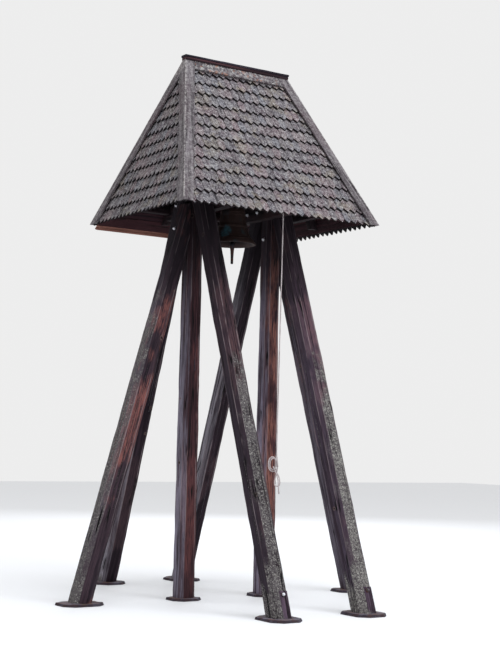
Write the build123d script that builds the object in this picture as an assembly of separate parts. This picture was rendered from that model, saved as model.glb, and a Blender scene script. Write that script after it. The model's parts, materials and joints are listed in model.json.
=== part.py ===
from build123d import *
import math
import os

# Free-standing timber bell tower: two bents of hewn legs under a steep shingled hood,
# with one bell between them. Millimetres. X runs along the ridge and the bell's axle,
# Y across it, Z up, and the ground is at Z 0 under the middle of the tower.

# Bents
post_spacing = 1114
front_foot_reach = 1962
front_head_reach = 149
outer_foot_reach = 1339
outer_head_reach = 59
strut_foot_size = 220
strut_head_size = 205
post_foot_size = 216
post_head_size = 190
wane_share = 0.2
stone_thickness = 28
strut_stone_length = 500
strut_stone_width = 400
post_stone_length = 370
post_stone_width = 350

# Cross beams on the inner faces of the legs
beam_above_eave = 100
beam_height = 180
beam_thickness = 110
beam_housing = 10
strut_head_above_beam = 90
outer_head_above_beam = 70

# Hood, measured over the boards on the hips
eave_length = 2710
eave_width = 2270
ridge_length = 1440
eave_height = 4452
ridge_height = 6422
cover_board_thickness = 22
hip_board_width = 125
ridge_board_width = 135
cap_width = 112
cap_thickness = 55
cap_overhang = 25
course_rise = 146
shingle_butt = 22
shingle_base = 18
front_shingle_count = 28
end_shingle_count = 24
shingle_point_height = 50
boarding_thickness = 25
boarding_setback = 55
back_boarding_drop = 22

# Roof timbers
rafter_depth = 100
rafter_thickness = 75
rafter_seat = 40
rafter_spacing = 400
rafter_tail_gap = 70
plate_width = 100
plate_height = 100
plate_seat_height = 70
ridge_beam_width = 80
ridge_beam_height = 120

# Bell
axle_above_beam = 80
gudgeon_radius = 20
bearing_play = 0.08
bearing_thickness = 80
bearing_inset = 5
bearing_wall = 25
bearing_base_height = 25
bearing_base_width = 150
gudgeon_end_gap = 9
flange_size = 110
flange_thickness = 8
headstock_size = 150
headstock_chamfer = 12
headstock_end_gap = 37
bell_mouth_radius = 283
bell_height = 450
bell_shoulder_radius = 146
bell_shoulder_round = 38
bell_lip_face = 14
bell_lip_width = 20
bell_bow_radius = 253
bell_bow_height = 58
bell_bow_wall = 42
bell_waist_radius = 176
bell_waist_height = 205
bell_waist_wall = 22
bell_shoulder_wall = 20
bell_crown = 32
bell_flare_hollow = 12
bell_ring_width = 8
bell_ring_height = 3
bell_ring_level = 352
canon_foot_depth = 11
canon_bar_radius = 12
canon_arch_radius = 63
canon_spacing = 64
strap_width = 40
strap_thickness = 8

# Clapper
staple_drop = 36
staple_pin_radius = 10
staple_lug_thickness = 12
staple_lug_width = 44
clapper_eye_radius = 22
clapper_eye_thickness = 20
clapper_play = 0.3
clapper_side_play = 2
clapper_length = 387
clapper_shaft_radius = 10
clapper_ball_radius = 34
clapper_ball_height = 76
clapper_ball_facets = 4
clapper_shaft_overlap = 5
clapper_tail = 230
clapper_tail_radius = 13

# Rope and the lever that it pulls
lever_x = 295
lever_reach = 650
lever_width = 44
lever_root_depth = 72
lever_tip_depth = 46
lever_nose = 25
lever_tail = 60
eye_ring_radius = 20
eye_sides = 12
eye_bar_radius = 6
eye_bar_sides = 8
eye_stem = 12
rope_radius = 8
rope_play = 0.2
rope_knot_height = 1682
knot_width = 34
knot_height = 40

# Tied-up end of the rope, seen square on and measured from under the knot's top
bundle_turn = -33
bundle_thickness = 52
loop_offset = -27
loop_width = 124
loop_height = 186
loop_hole_width = 52
loop_hole_height = 112
bight_offset = 16
bight_drop = 158
bight_width = 75
bight_height = 195
bight_hole_width = 25
bight_hole_height = 100
tail_offset = 30
tail_width = 44
tail_height = 93

# Derived levels and slopes
hood_rise = ridge_height - eave_height
beam_bottom = eave_height + beam_above_eave
slope_y = eave_width / 2 / hood_rise
slope_x = (eave_length - ridge_length) / 2 / hood_rise
post_x = post_spacing / 2
shingle_face = cover_board_thickness
shingle_back = shingle_face + shingle_butt + shingle_base
boarding_back = shingle_back + boarding_thickness
rafter_back = boarding_back + rafter_depth
cap_seat = ridge_height - cap_thickness
beam_top = beam_bottom + beam_height
axle_height = beam_top + axle_above_beam
headstock_bottom = axle_height - headstock_size / 2
crown_top = headstock_bottom - canon_arch_radius - canon_bar_radius
mouth_height = crown_top - bell_height
clapper_pivot = crown_top - bell_crown - staple_drop
strut_head_top = beam_top + strut_head_above_beam
outer_strut_top = beam_bottom + outer_head_above_beam
front_strut_lean = (front_foot_reach - front_head_reach) / strut_head_top
outer_strut_lean = (outer_foot_reach - outer_head_reach) / outer_strut_top


def half_width(z, depth):
    """Half of the hood across Y at height z, this far inside its outer planes."""
    return (ridge_height - z) * slope_y - depth * math.hypot(1, slope_y)


def half_length(z, depth):
    """Half of the hood along X at height z, this far inside its outer planes."""
    return ridge_length / 2 + (ridge_height - z) * slope_x - depth * math.hypot(1, slope_x)


def apex(depth):
    """Height at which the two long faces meet, this far inside their outer planes."""
    return ridge_height - depth * math.hypot(1, slope_y) / slope_y


def block(x_low, x_high, y_low, y_high, z_low, z_high):
    """Box between two values on each axis."""
    centre = ((x_low + x_high) / 2, (y_low + y_high) / 2, (z_low + z_high) / 2)
    return Pos(*centre) * Box(x_high - x_low, y_high - y_low, z_high - z_low)


def half_turn(shape):
    """The same piece on the opposite side of the tower."""
    return Rot(0, 0, 180) * shape


def section_points(centre, size, stretch_x, stretch_y):
    """Eight corners of a hewn square with waney edges, level at the centre's height."""
    half = size / 2
    flat = half - size * wane_share
    corners = [(half, flat), (flat, half), (-flat, half), (-half, flat)]
    corners += [(-half, -flat), (-flat, -half), (flat, -half), (half, -flat)]
    return [(centre[0] + a * stretch_x, centre[1] + b * stretch_y, centre[2]) for a, b in corners]


ridge_beam_top = apex(boarding_back) - ridge_beam_width / 2 / slope_y
ridge_beam_bottom = ridge_beam_top - ridge_beam_height


def post_half(z):
    """Half of an upright post's width at height z."""
    return (post_foot_size + (post_head_size - post_foot_size) * z / ridge_beam_bottom) / 2


def strut_size(z):
    """Width of a strut at height z."""
    return strut_foot_size + (strut_head_size - strut_foot_size) * z / strut_head_top


def front_strut_y(z):
    """Distance of a front or back strut's centre line from its post at height z."""
    return front_foot_reach - front_strut_lean * z


def outer_strut_x(z):
    """Distance of an outer strut's centre line from its post at height z."""
    return outer_foot_reach - outer_strut_lean * z


# Cross beams: housed a little into the inner faces of all three legs
beam_outer = post_x - post_half(beam_bottom) + beam_housing
beam_inner = beam_outer - beam_thickness

# Plates: the rafters sit on their outer top edges
plate_bottom = beam_bottom + plate_seat_height
plate_top = plate_bottom + plate_height
plate_outer_y = half_width(plate_top, rafter_back - rafter_seat)
plate_inner_y = plate_outer_y - plate_width
plate_outer_x = half_length(plate_top, rafter_back - rafter_seat)
plate_inner_x = plate_outer_x - plate_width

right_beam = block(beam_inner, beam_outer, -plate_outer_y, plate_outer_y, beam_bottom, beam_top)
front_plate = block(-plate_outer_x, plate_outer_x, -plate_outer_y, -plate_inner_y,
                    plate_bottom, plate_top)
back_plate = half_turn(front_plate)
right_plate = block(plate_inner_x, plate_outer_x, -plate_inner_y, plate_inner_y,
                    plate_bottom, plate_top)
beam_end = block(beam_inner, beam_outer, plate_inner_y, plate_outer_y, plate_bottom, beam_top)
right_beam = right_beam - beam_end - mirror(beam_end, Plane.XZ)

# Legs of the right-hand bent
right_post = ConvexPolyhedron(
    section_points((post_x, 0, stone_thickness), 2 * post_half(stone_thickness), 1, 1)
    + section_points((post_x, 0, ridge_beam_bottom), 2 * post_half(ridge_beam_bottom), 1, 1)
)
right_post -= right_beam


def beyond_post_face():
    """Everything from the front face of the right-hand post backwards."""
    reach = post_spacing / 2
    points = []
    for z in (0, ridge_beam_bottom):
        for x in (0, post_spacing):
            points.append((x, -post_half(z), z))
            points.append((x, reach, z))
    return ConvexPolyhedron(points)


def inside_post_face():
    """Everything from the outer face of the right-hand post towards the bell."""
    reach = post_spacing / 2
    points = []
    for z in (0, ridge_beam_bottom):
        for y in (-reach, reach):
            points.append((post_x + post_half(z), y, z))
            points.append((0, y, z))
    return ConvexPolyhedron(points)


front_stretch = math.hypot(1, front_strut_lean)
outer_stretch = math.hypot(1, outer_strut_lean)


def front_section(z):
    return section_points((post_x, -front_strut_y(z), z), strut_size(z), 1, front_stretch)


def outer_section(z):
    return section_points((post_x + outer_strut_x(z), 0, z), strut_size(z), outer_stretch, 1)


right_front_strut = ConvexPolyhedron(front_section(stone_thickness) + front_section(strut_head_top))
right_front_strut = right_front_strut - beyond_post_face() - right_beam
right_outer_strut = ConvexPolyhedron(outer_section(stone_thickness) + outer_section(outer_strut_top))
right_outer_strut = right_outer_strut - inside_post_face()
right_back_strut = mirror(right_front_strut, Plane.XZ)


def foot_stone(x, y, length, width):
    """Flat undressed stone with knocked-off corners under a leg."""
    corner = width / 4
    outline = chamfer(Rectangle(length, width).vertices(), corner)
    return Pos(x, y, 0) * extrude(outline, stone_thickness)


foot_stones = [
    foot_stone(post_x, 0, post_stone_length, post_stone_width),
    foot_stone(post_x, -front_strut_y(stone_thickness), strut_stone_width, strut_stone_length),
    foot_stone(post_x, front_strut_y(stone_thickness), strut_stone_width, strut_stone_length),
    foot_stone(post_x + outer_strut_x(stone_thickness), 0, strut_stone_length, strut_stone_width),
]


# Hood layers
def front_layer(outer, inner, z_low, z_high):
    """Mitred slab of the front face between two depths."""
    points = []
    for depth in (outer, inner):
        for z in (z_low, min(z_high, apex(depth))):
            points.append((half_length(z, depth), -half_width(z, depth), z))
            points.append((-half_length(z, depth), -half_width(z, depth), z))
    return ConvexPolyhedron(points)


def right_layer(outer, inner, z_low, z_high):
    """Mitred slab of the right-hand face between two depths."""
    points = []
    for depth in (outer, inner):
        for z in (z_low, min(z_high, apex(depth))):
            points.append((half_length(z, depth), half_width(z, depth), z))
            points.append((half_length(z, depth), -half_width(z, depth), z))
    return ConvexPolyhedron(points)


def course_profile(half_span, slope):
    """Section of a shingled face: half_span gives the distance out at a height and depth."""
    across = 1 / math.hypot(1, slope)
    down = slope / math.hypot(1, slope)
    points = []
    z = eave_height
    while z < cap_seat - course_rise / 2:
        span = half_span(z, shingle_face)
        if points:
            points.append((span - shingle_butt * across, z - shingle_butt * down))
        points.append((span, z))
        z += course_rise
    top = ridge_height + shingle_back
    points.append((half_span(top, shingle_face + shingle_butt), top))
    points.append((half_span(top, shingle_back), top))
    thickness = shingle_back - shingle_face
    span = half_span(eave_height, shingle_face)
    points.append((span - thickness * across, eave_height - thickness * down))
    return make_face(Polyline(*points, close=True))


def eave_notches(length, count, half_span, slope, out):
    """Wedges between the points of the lowest course; out is the face's level direction."""
    width = length / count
    outline = [(-length / 2, -shingle_back), (-length / 2, 0)]
    for i in range(count):
        outline.append((width * (i + 0.5) - length / 2, shingle_point_height))
        outline.append((width * (i + 1) - length / 2, 0))
    outline.append((length / 2, -shingle_back))
    out = Vector(*out)
    up = (Vector(0, 0, 1) - out * slope).normalized()
    eave_line = out * half_span(eave_height, shingle_face) + Vector(0, 0, eave_height)
    outwards = out + Vector(0, 0, slope)
    face = Plane(origin=eave_line, x_dir=up.cross(outwards), z_dir=outwards)
    return extrude(face * make_face(Polyline(*outline, close=True)), shingle_back * 2, both=True)


skin_low = eave_height - shingle_back
front_profile = Plane(origin=(0, 0, 0), x_dir=(0, -1, 0), z_dir=(-1, 0, 0)) * course_profile(
    half_width, slope_y)
front_shingles = extrude(front_profile, eave_length / 2, both=True)
front_shingles = front_shingles & front_layer(0, boarding_back, skin_low, cap_seat)
front_shingles -= eave_notches(eave_length, front_shingle_count, half_width, slope_y, (0, -1, 0))
right_profile = Plane(origin=(0, 0, 0), x_dir=(1, 0, 0), z_dir=(0, -1, 0)) * course_profile(
    half_length, slope_x)
right_shingles = extrude(right_profile, eave_width / 2, both=True)
right_shingles = right_shingles & right_layer(0, boarding_back, skin_low, cap_seat)
right_shingles -= eave_notches(eave_width, end_shingle_count, half_length, slope_x, (1, 0, 0))

boarding_low = eave_height + boarding_setback
front_boarding = front_layer(shingle_back, boarding_back, boarding_low, cap_seat)
back_boarding = half_turn(front_layer(
    shingle_back, boarding_back, eave_height - back_boarding_drop, cap_seat))
right_boarding = right_layer(shingle_back, boarding_back, boarding_low, cap_seat)

# Boards over the hips and along the ridge
slant = math.sqrt(1 + slope_x ** 2 + slope_y ** 2)
hip_run_front = hip_board_width * slant / math.hypot(1, slope_y)
hip_run_end = hip_board_width * slant / math.hypot(1, slope_x)


def hip_board_front():
    """Board on the front face along the right-hand hip."""
    points = []
    for depth in (0, cover_board_thickness):
        for z in (eave_height, cap_seat):
            points.append((half_length(z, depth), -half_width(z, depth), z))
            points.append((half_length(z, depth) - hip_run_front, -half_width(z, depth), z))
    return ConvexPolyhedron(points)


def hip_board_end():
    """Board on the right-hand face along the front hip, to the middle of that face."""
    points = []
    for depth in (0, cover_board_thickness):
        meeting = ridge_height - (hip_run_end + depth * math.hypot(1, slope_y)) / slope_y
        points.append((half_length(meeting, depth), 0, meeting))
        points.append((half_length(cap_seat, depth), 0, cap_seat))
        points.append((half_length(cap_seat, depth), -max(half_width(cap_seat, depth), 0), cap_seat))
        points.append((half_length(eave_height, depth), -half_width(eave_height, depth), eave_height))
        points.append((half_length(eave_height, depth), hip_run_end - half_width(eave_height, depth),
                       eave_height))
    return ConvexPolyhedron(points)


front_right_hip = hip_board_front() + hip_board_end()
back_right_hip = mirror(front_right_hip, Plane.XZ)

ridge_board_low = cap_seat - ridge_board_width / math.hypot(1, slope_y)
ridge_points = []
for depth in (0, cover_board_thickness):
    for z in (ridge_board_low, cap_seat):
        for side in (-1, 1):
            ridge_points.append((side * (half_length(z, depth) - hip_run_front),
                                 -half_width(z, depth), z))
front_ridge_board = ConvexPolyhedron(ridge_points)
ridge_cap = block(-ridge_length / 2 - cap_overhang, ridge_length / 2 + cap_overhang,
                  -cap_width / 2, cap_width / 2, cap_seat, ridge_height)

# Ridge beam and rafters
ridge_beam_end = half_length(ridge_beam_bottom, rafter_back)
ridge_beam = block(-ridge_beam_end, ridge_beam_end, -ridge_beam_width / 2, ridge_beam_width / 2,
                   ridge_beam_bottom, ridge_beam_top)
tail_height_z = eave_height + rafter_tail_gap


def front_rafter(x):
    """Common rafter on the front face, seated over the plate."""
    points = []
    for side in (-1, 1):
        for depth in (boarding_back, rafter_back):
            high = apex(depth) - ridge_beam_width / 2 / slope_y
            for z in (tail_height_z, high):
                points.append((x + side * rafter_thickness / 2, -half_width(z, depth), z))
    return ConvexPolyhedron(points) - front_plate


front_rafters = [front_rafter(x) for x in (-rafter_spacing, 0, rafter_spacing)]

under_boarding = ConvexPolyhedron(
    [(a * half_length(z, boarding_back), b * half_width(z, boarding_back), z)
     for z in (tail_height_z, apex(boarding_back)) for a in (-1, 1) for b in (-1, 1)]
)
end_points = []
for side in (-1, 1):
    for depth in (boarding_back, rafter_back):
        for z in (tail_height_z, apex(boarding_back)):
            end_points.append((half_length(z, depth), side * rafter_thickness / 2, z))
right_rafter = ConvexPolyhedron(end_points) & under_boarding
right_rafter = right_rafter - right_plate - ridge_beam - inside_post_face()


def hip_rafter():
    """Rafter under the front right-hand hip, bevelled to both faces."""
    foot = Vector(half_length(tail_height_z, boarding_back), -half_width(tail_height_z, boarding_back),
                  tail_height_z)
    head = Vector(half_length(apex(boarding_back), boarding_back), 0, apex(boarding_back))
    plan = Vector(foot.X - head.X, foot.Y - head.Y, 0)
    side = Vector(-plan.Y, plan.X, 0).normalized() * (rafter_thickness / 2)
    drop = rafter_depth * (foot - head).length / plan.length
    points = []
    for end in (foot, head):
        for offset in (side, side * -1):
            points.append(end + offset + Vector(0, 0, rafter_thickness))
            points.append(end + offset - Vector(0, 0, drop))
    beside_end_rafter = block(0, eave_length, -eave_width, -rafter_thickness / 2, 0, ridge_height)
    return ConvexPolyhedron(points) & under_boarding & beside_end_rafter


front_right_rafter = hip_rafter() - front_plate - right_plate - ridge_beam
back_right_rafter = mirror(front_right_rafter, Plane.XZ)

# Bearings: cast blocks on the cross beams, bored for the gudgeons
bearing_radius = gudgeon_radius + bearing_play
housing_radius = bearing_radius + bearing_wall
bearing_face = Rectangle(2 * housing_radius, axle_above_beam, align=(Align.CENTER, Align.MAX))
bearing_face += Circle(housing_radius)
bearing_face += Pos(0, -axle_above_beam) * Rectangle(
    bearing_base_width, bearing_base_height, align=(Align.CENTER, Align.MIN))
bearing_face -= Circle(bearing_radius)
bearing_start = beam_inner + bearing_inset
right_bearing = extrude(Plane(origin=(bearing_start, 0, axle_height), x_dir=(0, 1, 0),
                              z_dir=(1, 0, 0)) * bearing_face, bearing_thickness)

# Headstock with its gudgeons and the strap through the canons
headstock_half = beam_inner - headstock_end_gap
headstock = Pos(0, 0, axle_height) * Box(2 * headstock_half, headstock_size, headstock_size)
headstock = chamfer(headstock.edges().filter_by(Axis.X), headstock_chamfer)
gudgeon_end = post_x - post_half(axle_height) - gudgeon_end_gap
right_gudgeon = block(headstock_half, headstock_half + flange_thickness, -flange_size / 2,
                      flange_size / 2, axle_height - flange_size / 2, axle_height + flange_size / 2)
gudgeon_shaft = Pos(headstock_half, 0, axle_height) * Rot(0, 90, 0) * Cylinder(
    gudgeon_radius, gudgeon_end - headstock_half, align=(Align.CENTER, Align.CENTER, Align.MIN))
right_gudgeon += gudgeon_shaft

strap_bottom = crown_top + math.sqrt(
    (canon_arch_radius - canon_bar_radius) ** 2 - (strap_width / 2) ** 2)
strap_inside = block(-strap_width / 2, strap_width / 2, -headstock_size / 2, headstock_size / 2,
                     strap_bottom, axle_height + headstock_size / 2)
strap_outside = block(-strap_width / 2, strap_width / 2, -headstock_size / 2 - strap_thickness,
                      headstock_size / 2 + strap_thickness, strap_bottom - strap_thickness,
                      axle_height + headstock_size / 2 + strap_thickness)
headstock_strap = strap_outside - strap_inside

# Bell with two canons: straight facets from lip to shoulder, outside and inside
def hollow_corners(start, end, hollow, count):
    """Corners between two points of the profile, on a curve that is hollow to its left."""
    chord = Vector(end) - Vector(start)
    left = Vector(-chord.Y, chord.X).normalized()
    corners = []
    for i in range(1, count + 1):
        share = i / (count + 1)
        corner = Vector(start) + chord * share + left * (hollow * 4 * share * (1 - share))
        corners.append((corner.X, corner.Y))
    return corners


shoulder_height = bell_height - bell_shoulder_round
shoulder_corner = bell_shoulder_round * (1 - math.sqrt(0.5))
inner_round = bell_shoulder_round - bell_shoulder_wall / 2
inner_top = bell_height - bell_crown
outer_lip = (bell_mouth_radius, bell_lip_face)
outer_bow = (bell_bow_radius, bell_bow_height)
outer_waist = (bell_waist_radius, bell_waist_height)
outer_shoulder = (bell_shoulder_radius, shoulder_height)
inner_lip = (bell_mouth_radius - bell_lip_width, 0)
inner_bow = (bell_bow_radius - bell_bow_wall, bell_bow_height)
inner_waist = (bell_waist_radius - bell_waist_wall, bell_waist_height)
inner_shoulder = (bell_shoulder_radius - bell_shoulder_wall, inner_top - inner_round)
outside = [(0, bell_height), (bell_shoulder_radius - bell_shoulder_round, bell_height),
           (bell_shoulder_radius - shoulder_corner, bell_height - shoulder_corner), outer_shoulder]
outside += [outer_waist]
outside += hollow_corners(outer_waist, outer_bow, -bell_flare_hollow, 2)
outside += [outer_bow, outer_lip, (bell_mouth_radius, 0)]
inside = [inner_lip, inner_bow]
inside += hollow_corners(inner_bow, inner_waist, bell_flare_hollow, 1)
inside += [inner_waist, inner_shoulder, (inner_shoulder[0] - inner_round, inner_top), (0, inner_top)]


def outer_radius(height):
    """Radius of the bell's outside at a height above its mouth."""
    for (upper_radius, upper), (lower_radius, lower) in zip(outside, outside[1:]):
        if lower <= height <= upper and lower < upper:
            share = (height - lower) / (upper - lower)
            return lower_radius + (upper_radius - lower_radius) * share


with BuildSketch() as bell_half:
    with BuildLine():
        Polyline(*outside, *inside, close=True)
    make_face()
    ring_reach = outer_radius(bell_ring_level) + bell_ring_height
    with Locations((ring_reach - bell_shoulder_wall / 2, bell_ring_level)):
        Rectangle(bell_shoulder_wall, bell_ring_width)
bell = Pos(0, 0, mouth_height) * revolve(Plane.XZ * bell_half.sketch, Axis.Z)
canon_arch = Circle(canon_arch_radius + canon_bar_radius) - Circle(
    canon_arch_radius - canon_bar_radius)
canon_above = Pos(0, -canon_foot_depth) * Rectangle(
    bell_mouth_radius, canon_arch_radius * 2, align=(Align.CENTER, Align.MIN))
for side in (-1, 1):
    canon_plane = Plane(origin=(0, side * canon_spacing / 2, crown_top), x_dir=(1, 0, 0),
                        z_dir=(0, -1, 0))
    bell += extrude(canon_plane * (canon_arch & canon_above), canon_bar_radius, both=True)

# Staple under the crown and the clapper that hangs from it
crown_inside = crown_top - bell_crown
lug_start = clapper_eye_thickness / 2 + clapper_side_play
lug_end = lug_start + staple_lug_thickness
staple = Pos(0, 0, clapper_pivot) * Rot(0, 90, 0) * Cylinder(staple_pin_radius, 2 * lug_end)
for side in (-1, 1):
    lug = block(lug_start, lug_end, -staple_lug_width / 2, staple_lug_width / 2, clapper_pivot,
                crown_inside)
    lug += Pos(lug_start, 0, clapper_pivot) * Rot(0, 90, 0) * Cylinder(
        staple_lug_width / 2, staple_lug_thickness, align=(Align.CENTER, Align.CENTER, Align.MIN))
    staple += lug if side > 0 else mirror(lug, Plane.YZ)

ball_top_angle = math.acos(clapper_shaft_radius / clapper_ball_radius)
ball_outline = []
for i in range(clapper_ball_facets + 1):
    angle = ball_top_angle * (1 - 2 * i / clapper_ball_facets)
    ball_outline.append((clapper_ball_radius * math.cos(angle),
                         clapper_ball_height / 2 * math.sin(angle) - clapper_length))
ball_outline.append((0, ball_outline[-1][1]))
ball_outline.append((0, ball_outline[0][1]))
clapper = revolve(Plane.XZ * make_face(Polyline(*ball_outline, close=True)), Axis.Z)
clapper += Pos(0, 0, clapper_shaft_overlap - clapper_eye_radius) * Cylinder(
    clapper_shaft_radius, clapper_length, align=(Align.CENTER, Align.CENTER, Align.MAX))
clapper += Pos(0, 0, -clapper_length) * Cylinder(
    clapper_tail_radius, clapper_tail, align=(Align.CENTER, Align.CENTER, Align.MAX))
clapper += Rot(0, 90, 0) * Cylinder(clapper_eye_radius, clapper_eye_thickness)
clapper -= Rot(0, 90, 0) * Cylinder(staple_pin_radius + clapper_play, clapper_eye_thickness * 2)
clapper = Pos(0, 0, clapper_pivot) * clapper

# Lever through the headstock, with the eye that the rope hangs from
root_low = axle_height - lever_root_depth / 2
root_high = axle_height + lever_root_depth / 2
lever_profile = make_face(Polyline(
    (headstock_size / 2 + lever_tail, root_low),
    (headstock_size / 2 + lever_tail, root_high),
    (-headstock_size / 2, root_high),
    (-lever_reach - lever_nose, axle_height + lever_tip_depth / 2),
    (-lever_reach - lever_nose, axle_height - lever_tip_depth / 2),
    (-lever_reach + lever_nose, axle_height - lever_tip_depth / 2),
    (-headstock_size / 2, root_low),
    close=True,
))
lever_plane = Plane(origin=(lever_x, 0, 0), x_dir=(0, 1, 0), z_dir=(1, 0, 0))
lever = extrude(lever_plane * lever_profile, lever_width / 2, both=True)
headstock -= lever

lever_underside = axle_height - lever_tip_depth / 2
eye_centre = lever_underside - eye_stem - eye_ring_radius
eye_flats = RegularPolygon(eye_ring_radius, eye_sides, major_radius=False, rotation=180 / eye_sides)
eye_path = Plane.XZ * eye_flats.face().outer_wire()
eye_start = eye_path.edges()[0]
eye_section = Plane(origin=eye_start @ 0.5, z_dir=eye_start % 0.5) * RegularPolygon(
    eye_bar_radius, eye_bar_sides, major_radius=False)
lever_eye = Pos(lever_x, -lever_reach, eye_centre) * sweep(
    eye_section, path=eye_path, transition=Transition.RIGHT)
lever_eye += Pos(lever_x, -lever_reach, eye_centre + eye_ring_radius) * extrude(
    RegularPolygon(eye_bar_radius, eye_bar_sides, major_radius=False), eye_stem)
rope_pivot = eye_centre - eye_ring_radius
rope_top = rope_pivot - eye_bar_radius / math.cos(math.pi / eye_bar_sides) - rope_play
bell_rope = Pos(lever_x, -lever_reach, rope_knot_height) * Cylinder(
    rope_radius, rope_top - rope_knot_height, align=(Align.CENTER, Align.CENTER, Align.MIN))

# Rope end tied up in a loop, a smaller bight and two tails, as one closed outer form
bight_middle = -bight_drop - bight_height / 2
tail_middle = -bight_drop - bight_height - tail_height / 2
with BuildSketch() as bundle_outline:
    with Locations((0, -knot_height / 2)):
        Rectangle(knot_width, knot_height)
    with Locations((loop_offset, -loop_height / 2)):
        SlotCenterToCenter(loop_height - loop_width, loop_width, rotation=90)
    with Locations((bight_offset, bight_middle)):
        SlotCenterToCenter(bight_height - bight_width, bight_width, rotation=90)
    with Locations((tail_offset, tail_middle + rope_radius)):
        Rectangle(tail_width, tail_height + 2 * rope_radius)
    with Locations((loop_offset, -loop_height / 2)):
        SlotCenterToCenter(loop_hole_height - loop_hole_width, loop_hole_width, rotation=90,
                           mode=Mode.SUBTRACT)
    with Locations((bight_offset, bight_middle)):
        SlotCenterToCenter(bight_hole_height - bight_hole_width, bight_hole_width, rotation=90,
                           mode=Mode.SUBTRACT)
rope_bundle = extrude(Plane.XZ * bundle_outline.sketch, bundle_thickness / 2, both=True)
rope_bundle = Pos(lever_x, -lever_reach, rope_knot_height) * Rot(0, 0, bundle_turn) * rope_bundle

# Every piece by name
pieces = {
    "right_post": right_post,
    "left_post": half_turn(right_post),
    "right_front_strut": right_front_strut,
    "right_back_strut": right_back_strut,
    "left_front_strut": half_turn(right_back_strut),
    "left_back_strut": half_turn(right_front_strut),
    "right_outer_strut": right_outer_strut,
    "left_outer_strut": half_turn(right_outer_strut),
    "right_foot_stones": Compound(children=foot_stones),
    "left_foot_stones": Compound(children=[half_turn(stone) for stone in foot_stones]),
    "right_cross_beam": right_beam,
    "left_cross_beam": half_turn(right_beam),
    "front_plate": front_plate,
    "back_plate": back_plate,
    "right_plate": right_plate,
    "left_plate": half_turn(right_plate),
    "ridge_beam": ridge_beam,
    "front_rafters": Compound(children=front_rafters),
    "back_rafters": Compound(children=[half_turn(rafter) for rafter in front_rafters]),
    "end_rafters": Compound(children=[right_rafter, half_turn(right_rafter)]),
    "hip_rafters": Compound(children=[front_right_rafter, back_right_rafter,
                                      half_turn(front_right_rafter), half_turn(back_right_rafter)]),
    "front_boarding": front_boarding,
    "back_boarding": back_boarding,
    "right_boarding": right_boarding,
    "left_boarding": half_turn(right_boarding),
    "front_shingles": front_shingles,
    "back_shingles": half_turn(front_shingles),
    "right_shingles": right_shingles,
    "left_shingles": half_turn(right_shingles),
    "front_right_hip_boards": front_right_hip,
    "back_right_hip_boards": back_right_hip,
    "front_left_hip_boards": half_turn(back_right_hip),
    "back_left_hip_boards": half_turn(front_right_hip),
    "ridge_boards": Compound(children=[front_ridge_board, half_turn(front_ridge_board)]),
    "ridge_cap": ridge_cap,
    "bearings": Compound(children=[right_bearing, half_turn(right_bearing)]),
    "headstock": headstock,
    "headstock_irons": Compound(children=[right_gudgeon, half_turn(right_gudgeon), headstock_strap]),
    "bell": bell,
    "clapper_staple": staple,
    "clapper": clapper,
    "rope_lever": lever,
    "lever_eye": lever_eye,
    "bell_rope": bell_rope,
    "rope_bundle": rope_bundle,
}

os.makedirs("parts", exist_ok=True)
for name, piece in pieces.items():
    export_step(piece, f"parts/{name}.step")
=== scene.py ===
import bmesh
import bpy
import json
import math
import random
from mathutils import Matrix, Vector

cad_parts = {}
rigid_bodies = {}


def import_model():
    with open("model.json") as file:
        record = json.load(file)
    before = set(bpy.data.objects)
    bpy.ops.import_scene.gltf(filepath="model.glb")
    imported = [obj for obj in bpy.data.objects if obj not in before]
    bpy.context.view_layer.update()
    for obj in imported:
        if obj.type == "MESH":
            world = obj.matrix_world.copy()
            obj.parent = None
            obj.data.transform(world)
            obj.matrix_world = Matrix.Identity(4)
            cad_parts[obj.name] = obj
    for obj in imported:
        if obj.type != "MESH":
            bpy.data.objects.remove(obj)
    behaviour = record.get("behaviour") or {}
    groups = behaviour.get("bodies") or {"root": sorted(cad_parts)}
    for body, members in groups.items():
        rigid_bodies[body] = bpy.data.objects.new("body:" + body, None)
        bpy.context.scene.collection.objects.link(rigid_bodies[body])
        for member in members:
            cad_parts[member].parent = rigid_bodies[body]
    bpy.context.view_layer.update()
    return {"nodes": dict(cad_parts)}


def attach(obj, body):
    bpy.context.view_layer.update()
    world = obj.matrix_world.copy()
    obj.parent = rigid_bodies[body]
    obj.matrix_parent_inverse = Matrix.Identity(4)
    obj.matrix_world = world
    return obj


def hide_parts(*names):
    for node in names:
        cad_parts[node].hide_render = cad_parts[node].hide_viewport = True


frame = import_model()

# Camera.
# The view from in front of the tower's left corner, at eye height, looking a little up
# at the hood. The camera was held with a slight roll.
camera_place = Vector((-8.588, -13.584, 1.822))
camera_yaw = math.radians(33.151)
camera_pitch = math.radians(4.693)
camera_roll = math.radians(1.281)
focal_length_px = 1341
picture_height_px = 667
film_height = 36


def lined_up(place, *axes):
    """Matrix that brings the origin to a place and X, Y and Z to these three ways."""
    return Matrix.Translation(place) @ Matrix(axes).transposed().to_4x4()


forward = Vector((math.sin(camera_yaw) * math.cos(camera_pitch),
                  math.cos(camera_yaw) * math.cos(camera_pitch), math.sin(camera_pitch)))
level = Vector((math.cos(camera_yaw), -math.sin(camera_yaw), 0))
upright = level.cross(forward)
camera_right = level * math.cos(camera_roll) + upright * math.sin(camera_roll)
camera_up = upright * math.cos(camera_roll) - level * math.sin(camera_roll)
camera_data = bpy.data.cameras.new("camera")
camera_data.sensor_fit = "VERTICAL"
camera_data.sensor_height = film_height
camera_data.lens = focal_length_px / picture_height_px * film_height
camera = bpy.data.objects.new("camera", camera_data)
bpy.context.scene.collection.objects.link(camera)
camera.matrix_world = lined_up(camera_place, camera_right, camera_up, -forward)
bpy.context.scene.camera = camera

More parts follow.
